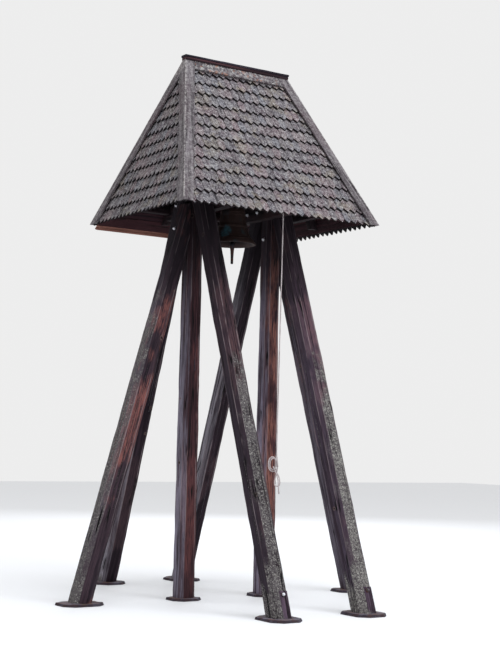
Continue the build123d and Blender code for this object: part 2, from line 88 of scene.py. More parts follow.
# Floor and light.
# A pale floor in even grey surroundings: light comes from all round, and a little more of it
# from above and from in front of the tower.
surround_colour = (1.0, 1.0, 1.0, 1)
surround_strength = 0.85
lamp_colour = (0.93, 0.96, 1.0)
lamp_aim_height = 3
floor_size = 80
floor_below = 0.001
floor_colour = (0.80, 0.81, 0.83, 1)
floor_roughness = 0.9
bpy.context.scene.view_settings.view_transform = "Standard"
world = bpy.data.worlds.new("soft_white")
world.use_nodes = True
world.node_tree.nodes["Background"].inputs["Color"].default_value = surround_colour
world.node_tree.nodes["Background"].inputs["Strength"].default_value = surround_strength
bpy.context.scene.world = world

for lamp_name, lamp_place, lamp_size, lamp_power in (
        ("soft_above", (0, -6, 16), 12, 1500), ("soft_front", (5, -15, 9), 8, 500),
        ("soft_behind", (9, 13, 9), 8, 700)):
    lamp_data = bpy.data.lights.new(lamp_name, "AREA")
    lamp_data.shape = "DISK"
    lamp_data.size = lamp_size
    lamp_data.energy = lamp_power
    lamp_data.color = lamp_colour
    lamp = bpy.data.objects.new(lamp_name, lamp_data)
    lamp.location = lamp_place
    lamp_aim = Vector((0, 0, lamp_aim_height)) - Vector(lamp_place)
    lamp.rotation_euler = lamp_aim.to_track_quat("-Z", "Y").to_euler()
    bpy.context.scene.collection.objects.link(lamp)

bpy.ops.object.select_all(action="DESELECT")
bpy.ops.mesh.primitive_plane_add(size=floor_size, location=(0, 0, -floor_below))
floor = bpy.context.object
floor.name = "floor"
floor_material = bpy.data.materials.new("pale_floor")
floor_material.use_nodes = True
floor_shader = floor_material.node_tree.nodes["Principled BSDF"]
floor_shader.inputs["Base Color"].default_value = floor_colour
floor_shader.inputs["Roughness"].default_value = floor_roughness
floor.data.materials.append(floor_material)

# Bell rope.
# One rope of three twisted strands. It hangs plumb from the eye under the lever, and its
# lower end is coiled into a round loop, with a smaller bight and the end hanging below.
rope_diameter = 0.016
strand_count = 3
strand_share = 0.50
strand_lay = 0.054
strand_sides = 6
strand_step = 0.007
line_steps = 40
closest_share = 0.6
rope_x = 0.295
rope_y = -0.650
rope_top = 4.7303
rope_knot_height = 1.682
rope_long_stretch = rope_top - rope_knot_height
bundle_turn = math.radians(-33)
across = Vector((math.cos(bundle_turn), math.sin(bundle_turn), 0))
behind = Vector((-math.sin(bundle_turn), math.cos(bundle_turn), 0))

# Across, up and behind, from the knot, which has been drawn a little to the left: the long
# straight run, two turns of the loop, the bight, a hitch over the loop's lower side, the end.
rope_drawn_left = 0.026
rope_route = [
    (rope_drawn_left, rope_long_stretch, 0), (rope_drawn_left, rope_long_stretch - 0.096, 0),
    (0.002, 0.110, 0), (0.002, 0.034, -0.002), (0.008, -0.026, -0.010),
    (0.016, -0.078, -0.018), (0.020, -0.130, -0.020), (0.000, -0.166, -0.020),
    (-0.036, -0.178, -0.020), (-0.070, -0.166, -0.020), (-0.088, -0.130, -0.020),
    (-0.090, -0.084, -0.020), (-0.084, -0.040, -0.020), (-0.062, -0.010, -0.020),
    (-0.028, -0.008, -0.020), (-0.008, -0.036, -0.016), (-0.004, -0.080, -0.008),
    (-0.004, -0.124, 0.000), (-0.018, -0.152, 0.002), (-0.047, -0.158, 0.002),
    (-0.070, -0.134, 0.002), (-0.073, -0.090, 0.003), (-0.067, -0.050, 0.006),
    (-0.045, -0.024, 0.012), (-0.014, -0.028, 0.020), (0.006, -0.064, 0.026),
    (0.014, -0.124, 0.028), (0.012, -0.180, 0.022), (-0.002, -0.234, 0.010),
    (-0.015, -0.288, 0.002), (-0.015, -0.328, -0.002), (0.003, -0.346, -0.004),
    (0.030, -0.346, -0.004), (0.047, -0.328, -0.002), (0.048, -0.284, 0.006),
    (0.034, -0.228, 0.028), (0.006, -0.188, 0.044), (-0.020, -0.150, 0.046),
    (-0.031, -0.124, 0.022), (-0.031, -0.124, -0.022), (-0.020, -0.150, -0.046),
    (0.004, -0.200, -0.046), (0.022, -0.256, -0.038), (0.030, -0.314, -0.032),
    (0.032, -0.372, -0.026), (0.038, -0.436, -0.016),
]


def smooth_line(name, points):
    """Open smooth spline through the air, with these points as its control points."""
    data = bpy.data.curves.new(name, "CURVE")
    data.dimensions = "3D"
    data.resolution_u = line_steps
    spline = data.splines.new("NURBS")
    spline.points.add(len(points) - 1)
    for point, place in zip(spline.points, points):
        point.co = (*place, 1)
    spline.order_u = 3
    spline.use_endpoint_u = True
    line = bpy.data.objects.new(name, data)
    bpy.context.scene.collection.objects.link(line)
    return line


def places_along(line):
    """The points that a curve without thickness runs through. The curve is then removed."""
    mesh = bpy.data.meshes.new_from_object(line)
    places = [vertex.co.copy() for vertex in mesh.vertices]
    bpy.data.meshes.remove(mesh)
    bpy.data.objects.remove(line)
    return places


def twisted_strands(name, places, diameter, lay):
    """Strands laid round a line of places."""
    strand = diameter / 2 * strand_share
    offset = diameter / 2 - strand
    side = (places[1] - places[0]).orthogonal().normalized()
    stations = []
    run = 0
    for here, there in zip(places, places[1:]):
        step = there - here
        if step.length < 1e-6:
            continue
        side = (side - step * side.dot(step) / step.length_squared).normalized()
        other = step.normalized().cross(side)
        pieces = max(1, round(step.length / strand_step))
        for i in range(pieces):
            place = here + step * i / pieces
            if stations and (place - stations[-1][0]).length < strand_step * closest_share:
                continue
            stations.append((place, side, other, run + step.length * i / pieces))
        run += step.length
    stations.append((places[-1], side, other, run))
    points, faces = [], []
    for number in range(strand_count):
        first = len(points)
        for place, side, other, along in stations:
            turn = math.tau * (along / lay + number / strand_count)
            middle = place + (side * math.cos(turn) + other * math.sin(turn)) * offset
            for corner in range(strand_sides):
                angle = turn + math.tau * corner / strand_sides
                points.append(middle + (side * math.cos(angle) + other * math.sin(angle)) * strand)
        for ring in range(len(stations) - 1):
            for corner in range(strand_sides):
                a = first + ring * strand_sides + corner
                b = first + ring * strand_sides + (corner + 1) % strand_sides
                faces.append((a, b, b + strand_sides, a + strand_sides))
        faces.append(tuple(first + corner for corner in reversed(range(strand_sides))))
        faces.append(tuple(len(points) - strand_sides + corner for corner in range(strand_sides)))
    mesh = bpy.data.meshes.new(name)
    mesh.from_pydata(points, [], faces)
    for face in mesh.polygons:
        face.use_smooth = len(face.vertices) == 4
    rope = bpy.data.objects.new(name, mesh)
    bpy.context.scene.collection.objects.link(rope)
    return rope


def feed(tree, socket, value):
    """Gives a socket its value, or a link from the socket that is to feed it."""
    if isinstance(value, bpy.types.NodeSocket):
        tree.links.new(value, socket)
    else:
        socket.default_value = value


def srgb(red, green, blue):
    """Colour as it is seen on a screen, 0 to 255, as the shader takes it."""
    def linear(value):
        share = value / 255
        return share / 12.92 if share <= 0.04045 else ((share + 0.055) / 1.055) ** 2.4
    return (linear(red), linear(green), linear(blue), 1)


def added_node(kind, *values):
    """Node whose first inputs take these values, in the tree that they come from."""
    tree = next(value for value in values if isinstance(value, bpy.types.NodeSocket)).id_data
    node = tree.nodes.new("ShaderNode" + kind)
    for socket, value in zip(node.inputs, values):
        feed(tree, socket, value)
    return node


def mixed(factor, low, high):
    """Two colours mixed by a factor."""
    node = factor.id_data.nodes.new("ShaderNodeMix")
    node.data_type = "RGBA"
    for number, value in ((0, factor), (6, low), (7, high)):
        feed(factor.id_data, node.inputs[number], value)
    return node.outputs[2]


def tinted(colour, *layers):
    """A colour with layers over it, each a mask and the colour that shows where it is 1."""
    for mask, tint in layers:
        colour = mixed(mask, colour, tint)
    return colour


def split(vector):
    """The X, Y and Z of a vector."""
    return added_node("SeparateXYZ", vector).outputs


def worked(operation, first, second=0.0):
    """Two values put together by an operation."""
    node = added_node("Math", first, second)
    node.operation = operation
    return node.outputs[0]


def plus(first, second):
    """The sum of two values."""
    return worked("ADD", first, second)


def minus(first, second):
    """The difference between two values."""
    return worked("SUBTRACT", first, second)


def times(first, second):
    """The product of two values."""
    return worked("MULTIPLY", first, second)


def spread(value, low, high, to_low=0.0, to_high=1.0):
    """A value between low and high, eased to between to_low and to_high."""
    node = added_node("MapRange", value, low, high, to_low, to_high)
    node.interpolation_type = "SMOOTHSTEP"
    return node.outputs["Result"]


def clouds(place, scale, detail=4.0, rough=0.55, stretch=(1, 1, 1)):
    """Cloudy pattern at a place, stretched along its axes by less than 1."""
    mapping = added_node("Mapping", place)
    mapping.inputs["Scale"].default_value = stretch
    node = added_node("TexNoise", mapping.outputs["Vector"])
    node.inputs["Scale"].default_value = scale
    node.inputs["Detail"].default_value = detail
    node.inputs["Roughness"].default_value = rough
    return node.outputs[0]


def marked(tree, name, output="Vector"):
    """What a piece's own attribute says at each point."""
    node = tree.nodes.new("ShaderNodeAttribute")
    node.attribute_name = name
    return node.outputs[output]


def finish_shader(material, colour, roughness, height, bump, metal=0.0, gloss=0.15):
    """Joins colour, roughness and relief to the material's own shader."""
    tree = material.node_tree
    shader = tree.nodes["Principled BSDF"]
    shader.inputs["Specular IOR Level"].default_value = gloss
    feed(tree, shader.inputs["Base Color"], colour)
    feed(tree, shader.inputs["Roughness"], roughness)
    feed(tree, shader.inputs["Metallic"], metal)
    relief = tree.nodes.new("ShaderNodeBump")
    relief.inputs["Strength"].default_value = 1.0
    relief.inputs["Distance"].default_value = bump
    feed(tree, relief.inputs["Height"], height)
    feed(tree, shader.inputs["Normal"], relief.outputs["Normal"])


def new_material(name):
    """Material with a shader and nothing else."""
    material = bpy.data.materials.new(name)
    material.use_nodes = True
    return material


rope_hemp = new_material("rope_hemp")
tree = rope_hemp.node_tree
object_place = tree.nodes.new("ShaderNodeTexCoord").outputs["Object"]
rope_dirt = spread(clouds(object_place, 9), 0.35, 0.7)
rope_fibre = clouds(object_place, 700, 2)
finish_shader(rope_hemp, tinted(
    mixed(rope_dirt, srgb(224, 215, 216), srgb(176, 164, 166)),
    (spread(rope_fibre, 0.3, 0.7, 0, 0.35), srgb(120, 110, 108))),
    roughness=0.9, height=rope_fibre, bump=0.001)

rope_knot = Vector((rope_x, rope_y, rope_knot_height)) - across * rope_drawn_left
rope_places = places_along(smooth_line("bell_rope_line", [
    rope_knot + across * u + Vector((0, 0, v)) + behind * w for u, v, w in rope_route]))
rope = twisted_strands("twisted_bell_rope", rope_places, rope_diameter, strand_lay)
rope.data.materials.append(rope_hemp)

# The rope's upper end is spliced round the eye's lower bar, and the splice is bound with
# tarred twine. Its lower end is bound too, against fraying.
splice_radius = 0.0145
splice_steps = 36
eye_bar_middle = 0.0067
twine_radius = 0.0017
twine_pitch = 0.0030
splice_binding_down = 0.034
splice_binding_over = 0.0006
splice_binding_turns = 12
end_binding_in = 0.018
end_binding_over = 0.0004
end_binding_turns = 5
splice_turns = [math.tau * step / splice_steps
                for step in range(-splice_steps // 2, splice_steps // 2 + 1)]
rope_splice = twisted_strands("rope_splice", [
    Vector((rope_x, rope_y, rope_top + eye_bar_middle))
    + splice_radius * Vector((0, math.sin(turn), -math.cos(turn)))
    for turn in splice_turns], rope_diameter, strand_lay)
rope_splice.data.materials.append(rope_hemp)


def joined(name, pieces):
    """Several pieces as one."""
    bpy.ops.object.select_all(action="DESELECT")
    for piece in pieces:
        piece.select_set(True)
    bpy.context.view_layer.objects.active = pieces[0]
    bpy.ops.object.join()
    whole = bpy.context.object
    whole.name = name
    return whole


def start_shape(kind, **values):
    """Basic shape of a kind, alone selected, with its size and place in its points."""
    bpy.ops.object.select_all(action="DESELECT")
    getattr(bpy.ops.mesh, f"primitive_{kind}_add")(**values)
    bpy.ops.object.transform_apply(location=True, rotation=True, scale=True)
    return bpy.context.object


def binding(name, place, along, radius, turns, material):
    """Turns of twine laid close round a place on the rope, each one pressed to the next."""
    bound = joined(name, [
        start_shape("torus", major_radius=radius, minor_radius=twine_radius, major_segments=20,
                    minor_segments=8, location=(0, 0, (turn - turns / 2) * twine_pitch))
        for turn in range(turns)])
    bound.data.transform(
        Matrix.Translation(place) @ along.to_track_quat("Z", "Y").to_matrix().to_4x4())
    bpy.ops.object.shade_smooth()
    bound.data.materials.append(material)
    return bound


rope_twine = new_material("rope_twine")
tree = rope_twine.node_tree
twine_fibre = clouds(tree.nodes.new("ShaderNodeTexCoord").outputs["Object"], 500, 2)
finish_shader(rope_twine, mixed(twine_fibre, srgb(120, 108, 98), srgb(64, 54, 50)),
              roughness=0.85, height=twine_fibre, bump=0.0006)
splice_binding = binding(
    "splice_binding", Vector((rope_x, rope_y, rope_top - splice_binding_down)),
    Vector((0, 0, 1)), rope_diameter / 2 + splice_binding_over, splice_binding_turns, rope_twine)
rope_end = rope_places[-1]
back_up_rope = rope_places[-2] - rope_end
end_binding = binding(
    "end_binding", rope_end + back_up_rope.normalized() * end_binding_in, back_up_rope,
    rope_diameter / 2 + end_binding_over, end_binding_turns, rope_hemp)
for piece in (rope_splice, splice_binding, end_binding):
    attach(piece, "rope")
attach(rope, "rope")
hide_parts("bell_rope", "rope_bundle")

# Foot stones.
# Thin undressed slabs of dark fieldstone that lie under the legs' feet. Nothing holds
# them: the tower's weight does.
stone_thickness = 0.028
post_x = 0.557
front_foot_y = 1.9515
outer_foot_x = 1.8882
post_stone = (0.370, 0.350)
front_stone = (0.400, 0.500)
outer_stone = (0.500, 0.400)
stone_corner_share = 0.25
stone_top_share = 0.95
stone_jog = 0.008
stone_swells = ((0.11, 0.010), (0.03, 0.004))
stone_crease_angle = math.radians(50)


def pick(piece, kind, wanted):
    """In edit mode, selects only those vertices, edges or faces that a test accepts."""
    mode = {"verts": "VERT", "edges": "EDGE", "faces": "FACE"}[kind]
    bpy.ops.mesh.select_mode(type=mode)
    bpy.ops.mesh.select_all(action="DESELECT")
    mesh = bmesh.from_edit_mesh(piece.data)
    for element in getattr(mesh, kind):
        element.select_set(bool(wanted(element)))
    mesh.select_flush_mode()
    bmesh.update_edit_mesh(piece.data)


def upright_edge(edge):
    """Whether an edge runs more up than along."""
    step = edge.verts[1].co - edge.verts[0].co
    return abs(step.z) > math.hypot(step.x, step.y)


def reach_along(edge):
    """How far an edge runs along X."""
    return abs(edge.verts[0].co.x - edge.verts[1].co.x)


def edit_all():
    """Edit mode with everything selected."""
    bpy.ops.object.mode_set(mode="EDIT")
    bpy.ops.mesh.select_all(action="SELECT")


def stop_editing():
    """Back to whole pieces."""
    bpy.ops.object.mode_set(mode="OBJECT")


def start_block(name, centre, size):
    """Box at its size and place, alone selected and in edit mode."""
    piece = start_shape("cube", size=1, location=centre, scale=size)
    piece.name = name
    edit_all()
    return piece


def alone(piece):
    """Makes a piece the only one that is selected, and active."""
    bpy.ops.object.select_all(action="DESELECT")
    piece.select_set(True)
    bpy.context.view_layer.objects.active = piece


def trimmed(piece, *cuts):
    """Cuts off what lies beyond each plane, a place and the way out, and closes the cut."""
    alone(piece)
    edit_all()
    for place, outwards in cuts:
        bpy.ops.mesh.select_all(action="SELECT")
        bpy.ops.mesh.bisect(plane_co=place, plane_no=outwards, use_fill=True, clear_outer=True)
    stop_editing()


def roughen(piece, swell, depth):
    """Uneven surface: swells this long and this high, in and out of the flat."""
    pattern = bpy.data.textures.new(piece.name + "_swells", "CLOUDS")
    pattern.noise_scale = swell
    pattern.noise_depth = 1
    modifier = piece.modifiers.new("uneven", "DISPLACE")
    modifier.texture = pattern
    modifier.strength = depth
    bpy.context.view_layer.objects.active = piece
    bpy.ops.object.modifier_apply(modifier="uneven")


def simply_divided(piece, levels):
    """Every face cut into four, and again, without change of shape."""
    modifier = piece.modifiers.new("divide", "SUBSURF")
    modifier.subdivision_type = "SIMPLE"
    modifier.levels = levels
    modifier.render_levels = levels
    bpy.context.view_layer.objects.active = piece
    bpy.ops.object.modifier_apply(modifier="divide")


fieldstone = new_material("fieldstone")
tree = fieldstone.node_tree
place = tree.nodes.new("ShaderNodeTexCoord").outputs
stone_grain = clouds(place["Object"], 180, 5, 0.7)
stone_blotch = clouds(place["Object"], 9, 4)
stone_soil = clouds(place["Object"], 13, 5, 0.65)
finish_shader(fieldstone, tinted(
    mixed(spread(stone_blotch, 0.4, 0.6), srgb(66, 61, 70), srgb(112, 108, 120)),
    (spread(stone_grain, 0.45, 0.7, 0, 0.5), srgb(122, 118, 122)),
    (spread(stone_soil, 0.46, 0.56, 0, 0.8), srgb(92, 66, 60)),
    (spread(stone_soil, 0.60, 0.68, 0, 0.7), srgb(104, 96, 62)),
    # Painted shade: the sides, which look less upwards than the top, are darker.
    (spread(split(place["Normal"])["Z"], 0.85, 0.35, 0, 0.75), srgb(34, 28, 38))),
    roughness=0.85, height=stone_grain, bump=0.004)

for side, side_name in ((1, "right"), (-1, "left")):
    stones = []
    for x, y, (length, width) in (
            (post_x, 0, post_stone), (post_x, -front_foot_y, front_stone),
            (post_x, front_foot_y, front_stone), (outer_foot_x, 0, outer_stone)):
        stone = start_block("stone", (side * x, y, stone_thickness / 2),
                            (length, width, stone_thickness))
        pick(stone, "edges", upright_edge)
        bpy.ops.mesh.bevel(offset=min(length, width) * stone_corner_share, segments=1)
        pick(stone, "verts", lambda vertex: vertex.co.z > stone_thickness / 2)
        bpy.ops.transform.resize(value=(stone_top_share, stone_top_share, 1),
                                 center_override=(side * x, y, 0))
        bpy.ops.transform.vertex_random(offset=stone_jog, seed=len(stones) + 5 * side)
        stop_editing()
        simply_divided(stone, 3)
        for swell, depth in stone_swells:
            roughen(stone, swell, depth)
        trimmed(stone, ((0, 0, 0), (0, 0, -1)))
        stones.append(stone)
    slabs = joined(side_name + "_stone_slabs", stones)
    slabs.data.materials.append(fieldstone)
    bpy.ops.object.shade_smooth_by_angle(angle=stone_crease_angle)
    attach(slabs, "frame")
    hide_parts(side_name + "_foot_stones")

# Legs.
# Eight legs hewn square from pine logs with the round of the log left at the corners. They
# taper upwards, lean against the two upright posts, and are cut level on the stones.
ridge_beam_foot = 6.0583
wane_share = 0.2
leg_rings = 70
face_strips = 4
arris_angle = 0.5
leg_swells = ((0.40, 0.012), (0.09, 0.005))
crease_angle = math.radians(35)
checks_per_leg = 5
check_width = 0.007
check_depth = 0.020
check_lengths = (0.5, 2.0)
check_start_shares = (0.1, 0.6)
check_columns = (-0.36, -0.12, 0.12, 0.36)
column_reach = 0.03
near_face_share = 0.97
grain_range = 40
post_sizes = (0.216, 0.190)
strut_sizes = (0.220, 0.205)
strut_head_top = 4.822
outer_strut_top = 4.622
front_reach = 1.962
front_head_reach = 0.149
outer_reach = 1.339
outer_head_reach = 0.059
front_lean = (front_reach - front_head_reach) / strut_head_top
outer_lean = (outer_reach - outer_head_reach) / outer_strut_top
post_taper = (post_sizes[0] - post_sizes[1]) / ridge_beam_foot / 2


def mark(piece, name, find):
    """Notes for each point of a piece the number or the vector that a function finds for it."""
    found = [find(vertex) for vertex in piece.data.vertices]
    if isinstance(found[0], Vector):
        notes = piece.data.attributes.new(name, "FLOAT_VECTOR", "POINT")
        notes.data.foreach_set("vector", [value for vector in found for value in vector])
    else:
        piece.data.attributes.new(name, "FLOAT", "POINT").data.foreach_set("value", found)


def lay_grain(piece, along, seed):
    """Notes for each point where it lies across and along the grain of its timber."""
    side = along.orthogonal().normalized()
    turn = Matrix((side, along.normalized().cross(side), along.normalized()))
    chance = random.Random(seed)
    shift = Vector([chance.uniform(0, grain_range) for _ in range(3)])
    mark(piece, "grain", lambda vertex: turn @ vertex.co + shift)


def drying_check(leg, axis, sizes, face, column, low, high):
    """In edit mode, opens a long crack up one face, pointed at both ends, and marks its bottom for
    painted shade.
    """
    def on_line(vertex):
        share = vertex.co.z / axis[1].z
        half = (sizes[0] + (sizes[1] - sizes[0]) * share) / 2
        offset = (vertex.co - axis[0].lerp(axis[1], share)) / half
        across_face = offset.y if face.x else offset.x
        return (low < vertex.co.z < high and offset.dot(face) > near_face_share
                and abs(across_face - column) < column_reach)

    pick(leg, "edges", lambda edge: upright_edge(edge) and all(on_line(v) for v in edge.verts))
    bpy.ops.mesh.bevel(offset=check_width / 2, segments=2)
    bpy.ops.mesh.select_mode(type="VERT")
    bpy.ops.mesh.select_less()
    bpy.ops.transform.translate(value=face * -check_depth)
    bpy.ops.mesh.attribute_set(value_float=-1)


def hewn_leg(name, foot, head, foot_size, head_size, stretch, cuts, seed):
    """Tapered leg with level ends between two places, cut off by planes near its head."""
    height = head.z - foot.z
    leg = start_block(name, foot + Vector((0, 0, height / 2)), (foot_size, foot_size, height))
    pick(leg, "edges", upright_edge)
    bpy.ops.mesh.bevel(offset=foot_size * wane_share, segments=1)
    bpy.ops.mesh.select_all(action="SELECT")
    bpy.ops.transform.resize(value=(*stretch, 1), center_override=foot)
    pick(leg, "verts", lambda vertex: vertex.co.z > foot.z + height / 2)
    top = Vector((foot.x, foot.y, head.z))
    share = head_size / foot_size
    bpy.ops.transform.resize(value=(share, share, 1), center_override=top)
    bpy.ops.transform.translate(value=head - top)
    pick(leg, "edges", upright_edge)
    bpy.ops.mesh.subdivide(number_cuts=leg_rings)
    pick(leg, "edges", lambda edge: not upright_edge(edge) and edge.calc_length() > foot_size / 5)
    bpy.ops.mesh.subdivide(number_cuts=face_strips)
    stop_editing()
    # Each point notes its arrises (1), worn and painted with a highlight, and the bottoms of drying
    # checks (-1), painted dark as shade.
    leg.data.attributes.active = leg.data.attributes.new("arris_wear_and_check_shade", "FLOAT", "POINT")
    edit_all()
    pick(leg, "edges",
         lambda edge: upright_edge(edge) and edge.calc_face_angle() > arris_angle)
    bpy.ops.mesh.attribute_set(value_float=1)
    chance = random.Random(seed + 100)
    axis = (foot - (head - foot) * foot.z / height, head)
    ways = [Vector((0, -1, 0)), Vector((-1, 0, 0)), Vector((0, 1, 0)), Vector((1, 0, 0))]
    for number in range(checks_per_leg):
        start = chance.uniform(*check_start_shares) * height
        drying_check(leg, axis, (foot_size, head_size), ways[number % 4],
                     chance.choice(check_columns), start, start + chance.uniform(*check_lengths))
    stop_editing()
    lay_grain(leg, head - foot, seed)
    for swell, depth in leg_swells:
        roughen(leg, swell, depth)
    trimmed(leg, (foot, (0, 0, -1)), *cuts)
    bpy.ops.object.shade_smooth_by_angle(angle=crease_angle)
    return leg


def strut_at(foot_size, head_size, level):
    """Width of a strut whose lower end stands at ground level."""
    return foot_size + (head_size - foot_size) * level / strut_head_top


knots_per_metre = 3.4
knot_radius = 0.021


def wood_effect():
    """Effect for all timber: streaks along the grain, drying cracks and large blotches."""
    group = bpy.data.node_groups.new("wood_pattern", "ShaderNodeTree")
    group.interface.new_socket("Place", in_out="INPUT", socket_type="NodeSocketVector")
    for name in ("Streaks", "Cracks", "Blotches", "Fibres", "Knots"):
        group.interface.new_socket(name, in_out="OUTPUT", socket_type="NodeSocketFloat")
    start = group.nodes.new("NodeGroupInput").outputs["Place"]
    end = group.nodes.new("NodeGroupOutput").inputs
    line = worked("ABSOLUTE", minus(clouds(start, 11, 2, 0.5, (1, 1, 0.035)), 0.5))
    broken = spread(clouds(start, 5, 3, 0.5, (1, 1, 0.5)), 0.48, 0.6)
    feed(group, end["Streaks"], clouds(start, 26, 5, 0.6, (1, 1, 0.05)))
    feed(group, end["Fibres"], clouds(start, 220, 3, 0.6, (1, 1, 0.03)))
    feed(group, end["Blotches"], clouds(start, 3.2, 4, 0.6, (1, 1, 0.4)))
    feed(group, end["Cracks"], times(spread(line, 0.004, 0.016, 1, 0), broken))
    knot = group.nodes.new("ShaderNodeTexVoronoi")
    knot.inputs["Scale"].default_value = knots_per_metre
    feed(group, knot.inputs["Vector"], start)
    feed(group, end["Knots"], knot.outputs["Distance"])
    return group


def lichen_effect():
    """Effect for old wood: grainy lichen in patches, on faces that look upwards."""
    group = bpy.data.node_groups.new("lichen", "ShaderNodeTree")
    for name, kind, value in (
            ("Place", "Vector", None), ("Facing", "Vector", None), ("Start", "Float", 0.1),
            ("Top", "Float", 3.0), ("Amount", "Float", 1.0)):
        socket = group.interface.new_socket(name, in_out="INPUT", socket_type="NodeSocket" + kind)
        if value is not None:
            socket.default_value = value
    for name in ("Mask", "Grains", "Specks", "Mottle"):
        group.interface.new_socket(name, in_out="OUTPUT", socket_type="NodeSocketFloat")
    start = group.nodes.new("NodeGroupInput").outputs
    end = group.nodes.new("NodeGroupOutput").inputs
    upwards = spread(minus(split(start["Facing"])["Z"], start["Start"]), 0, 0.1)
    patches = clouds(start["Place"], 5, 4, 0.6)
    limit = plus(start["Top"], times(minus(patches, 0.5), 3.0))
    low = spread(minus(limit, split(start["Place"])["Z"]), -0.15, 0.5)
    grains = clouds(start["Place"], 48, 4, 0.8)
    speckles = spread(plus(grains, times(patches, 0.35)), 0.50, 0.66)
    feed(group, end["Mask"], times(times(times(upwards, low), speckles), start["Amount"]))
    feed(group, end["Grains"], grains)
    feed(group, end["Mottle"], clouds(start["Place"], 26, 5, 0.9))
    feed(group, end["Specks"], spread(clouds(start["Place"], 75, 2, 0.9), 0.58, 0.68))
    return group


wood_pattern = wood_effect()
lichen = lichen_effect()


def patterned(group, **values):
    """An effect placed in a material with its own values, in the tree that its place is from."""
    tree = values["Place"].id_data
    node = tree.nodes.new("ShaderNodeGroup")
    node.node_tree = group
    for name, value in values.items():
        feed(tree, node.inputs[name], value)
    return node.outputs


def wooden(name):
    """New material, its node tree, and the effect for timber placed along its grain."""
    material = new_material(name)
    tree = material.node_tree
    return material, tree, patterned(wood_pattern, Place=marked(tree, "grain"))


def leg_wood(name, dark, light, bare, left_side, lichen_top, lichen_start, bare_from, bare_to,
             paler_lichen=0.0, foot_growth=0.2):
    """Tarred and weathered pine: bare where the tar has gone, most of all between two heights,
    paler on its left side, and painted almost black near its top as shade under the roof."""
    material, tree, wood = wooden(name)
    place = tree.nodes.new("ShaderNodeTexCoord").outputs
    facing = split(place["Normal"])
    level = split(place["Object"])["Z"]
    near_foot = spread(plus(level, times(wood["Blotches"], 0.8)), foot_growth + 0.85,
                       foot_growth + 0.4, 0, lichen_start + 0.12)
    growth = patterned(lichen, Place=place["Object"], Facing=place["Normal"],
                       Start=minus(lichen_start, near_foot), Top=lichen_top)
    arris_wear_and_check_shade = marked(tree, "arris_wear_and_check_shade", "Fac")
    bare_zone = times(spread(level, bare_from - 0.4, bare_from + 0.4),
                      spread(level, bare_to + 0.4, bare_to - 0.4))
    bared = spread(plus(wood["Blotches"], times(bare_zone, 0.15)), 0.56, 0.66, 0, 0.95)
    paled = times(spread(facing["X"], -0.5, -0.9, 0, 0.88), spread(level, 4.2, 2.8, 0.25, 1))
    # Arrises: worn, paler wood, and a painted highlight along them.
    edge = times(
        times(spread(arris_wear_and_check_shade, 0.55, 1.0, 0, 0.9), spread(wood["Blotches"], 0.43, 0.53)),
        times(spread(level, 0.3, 1.4, 0.15, 1), spread(wood["Fibres"], 0.40, 0.56, 0.3, 0.9)))
    knot = knot_radius * knots_per_metre
    lichen_colour = tinted(
        mixed(spread(growth["Grains"], 0.48 - paler_lichen, 0.72 - paler_lichen),
              srgb(76, 71, 74), srgb(136, 134, 129)),
        (spread(growth["Mottle"], 0.47, 0.38, 0, 0.65), srgb(46, 42, 44)),
        (growth["Specks"], srgb(184, 183, 177)))
    colour = tinted(
        mixed(spread(wood["Streaks"], 0.38, 0.62), dark, light),
        (bared, mixed(spread(wood["Fibres"], 0.4, 0.6), bare, light)),
        (paled, mixed(spread(wood["Streaks"], 0.42, 0.66, 0, 0.85), left_side, dark)),
        (spread(wood["Fibres"], 0.45, 0.62, 0, 0.55), srgb(20, 15, 19)),
        (edge, srgb(142, 130, 134)),
        (spread(wood["Knots"], 1.5 * knot, knot, 0, 0.5), srgb(122, 104, 98)),
        (spread(wood["Knots"], knot, 0.7 * knot), srgb(30, 18, 18)),
        (growth["Mask"], lichen_colour),
        # Painted shade: near black towards the top, where the roof shades the legs.
        (spread(level, 3.3, 4.2, 0, 0.72), srgb(19, 14, 19)),
        # Cracks, and as painted shade the bottoms of the drying checks, near black.
        (worked("MAXIMUM", wood["Cracks"], spread(arris_wear_and_check_shade, -0.05, -0.6)), srgb(10, 8, 10)))
    height = minus(plus(wood["Streaks"], times(wood["Fibres"], 0.3)), times(wood["Cracks"], 1.5))
    height = plus(height, times(growth["Mask"], growth["Grains"]))
    finish_shader(material, colour, roughness=0.9, height=height, bump=0.007)
    return material


left_post_wood = leg_wood("left_post_wood", srgb(34, 22, 27), srgb(68, 42, 46),
                          srgb(90, 54, 54), srgb(136, 130, 146), -2.0, 0.5, 0.8, 3.0)
right_post_wood = leg_wood("right_post_wood", srgb(36, 24, 30), srgb(78, 50, 53),
                           srgb(136, 90, 80), srgb(134, 127, 146), -2.0, 0.5, 0.2, 2.4)
left_front_wood = leg_wood("left_front_wood", srgb(30, 22, 29), srgb(56, 42, 50),
                           srgb(78, 56, 58), srgb(52, 44, 54), 2.8, 0.24, 2.4, 3.6)
right_front_wood = leg_wood("right_front_wood", srgb(40, 30, 38), srgb(80, 64, 76),
                            srgb(98, 72, 78), srgb(76, 66, 80), 2.8, 0.24, 2.4, 3.6, 0.06)
outer_wood = leg_wood("outer_leg_wood", srgb(36, 28, 36), srgb(64, 50, 58), srgb(134, 84, 78),
                      srgb(106, 99, 111), 3.4, 0.14, 1.6, 3.5, foot_growth=-0.15)
back_wood = leg_wood("back_leg_wood", srgb(28, 20, 27), srgb(52, 40, 49), srgb(64, 48, 52),
                     srgb(148, 143, 153), 2.6, 0.1, 0.5, 1.5, foot_growth=-0.15)

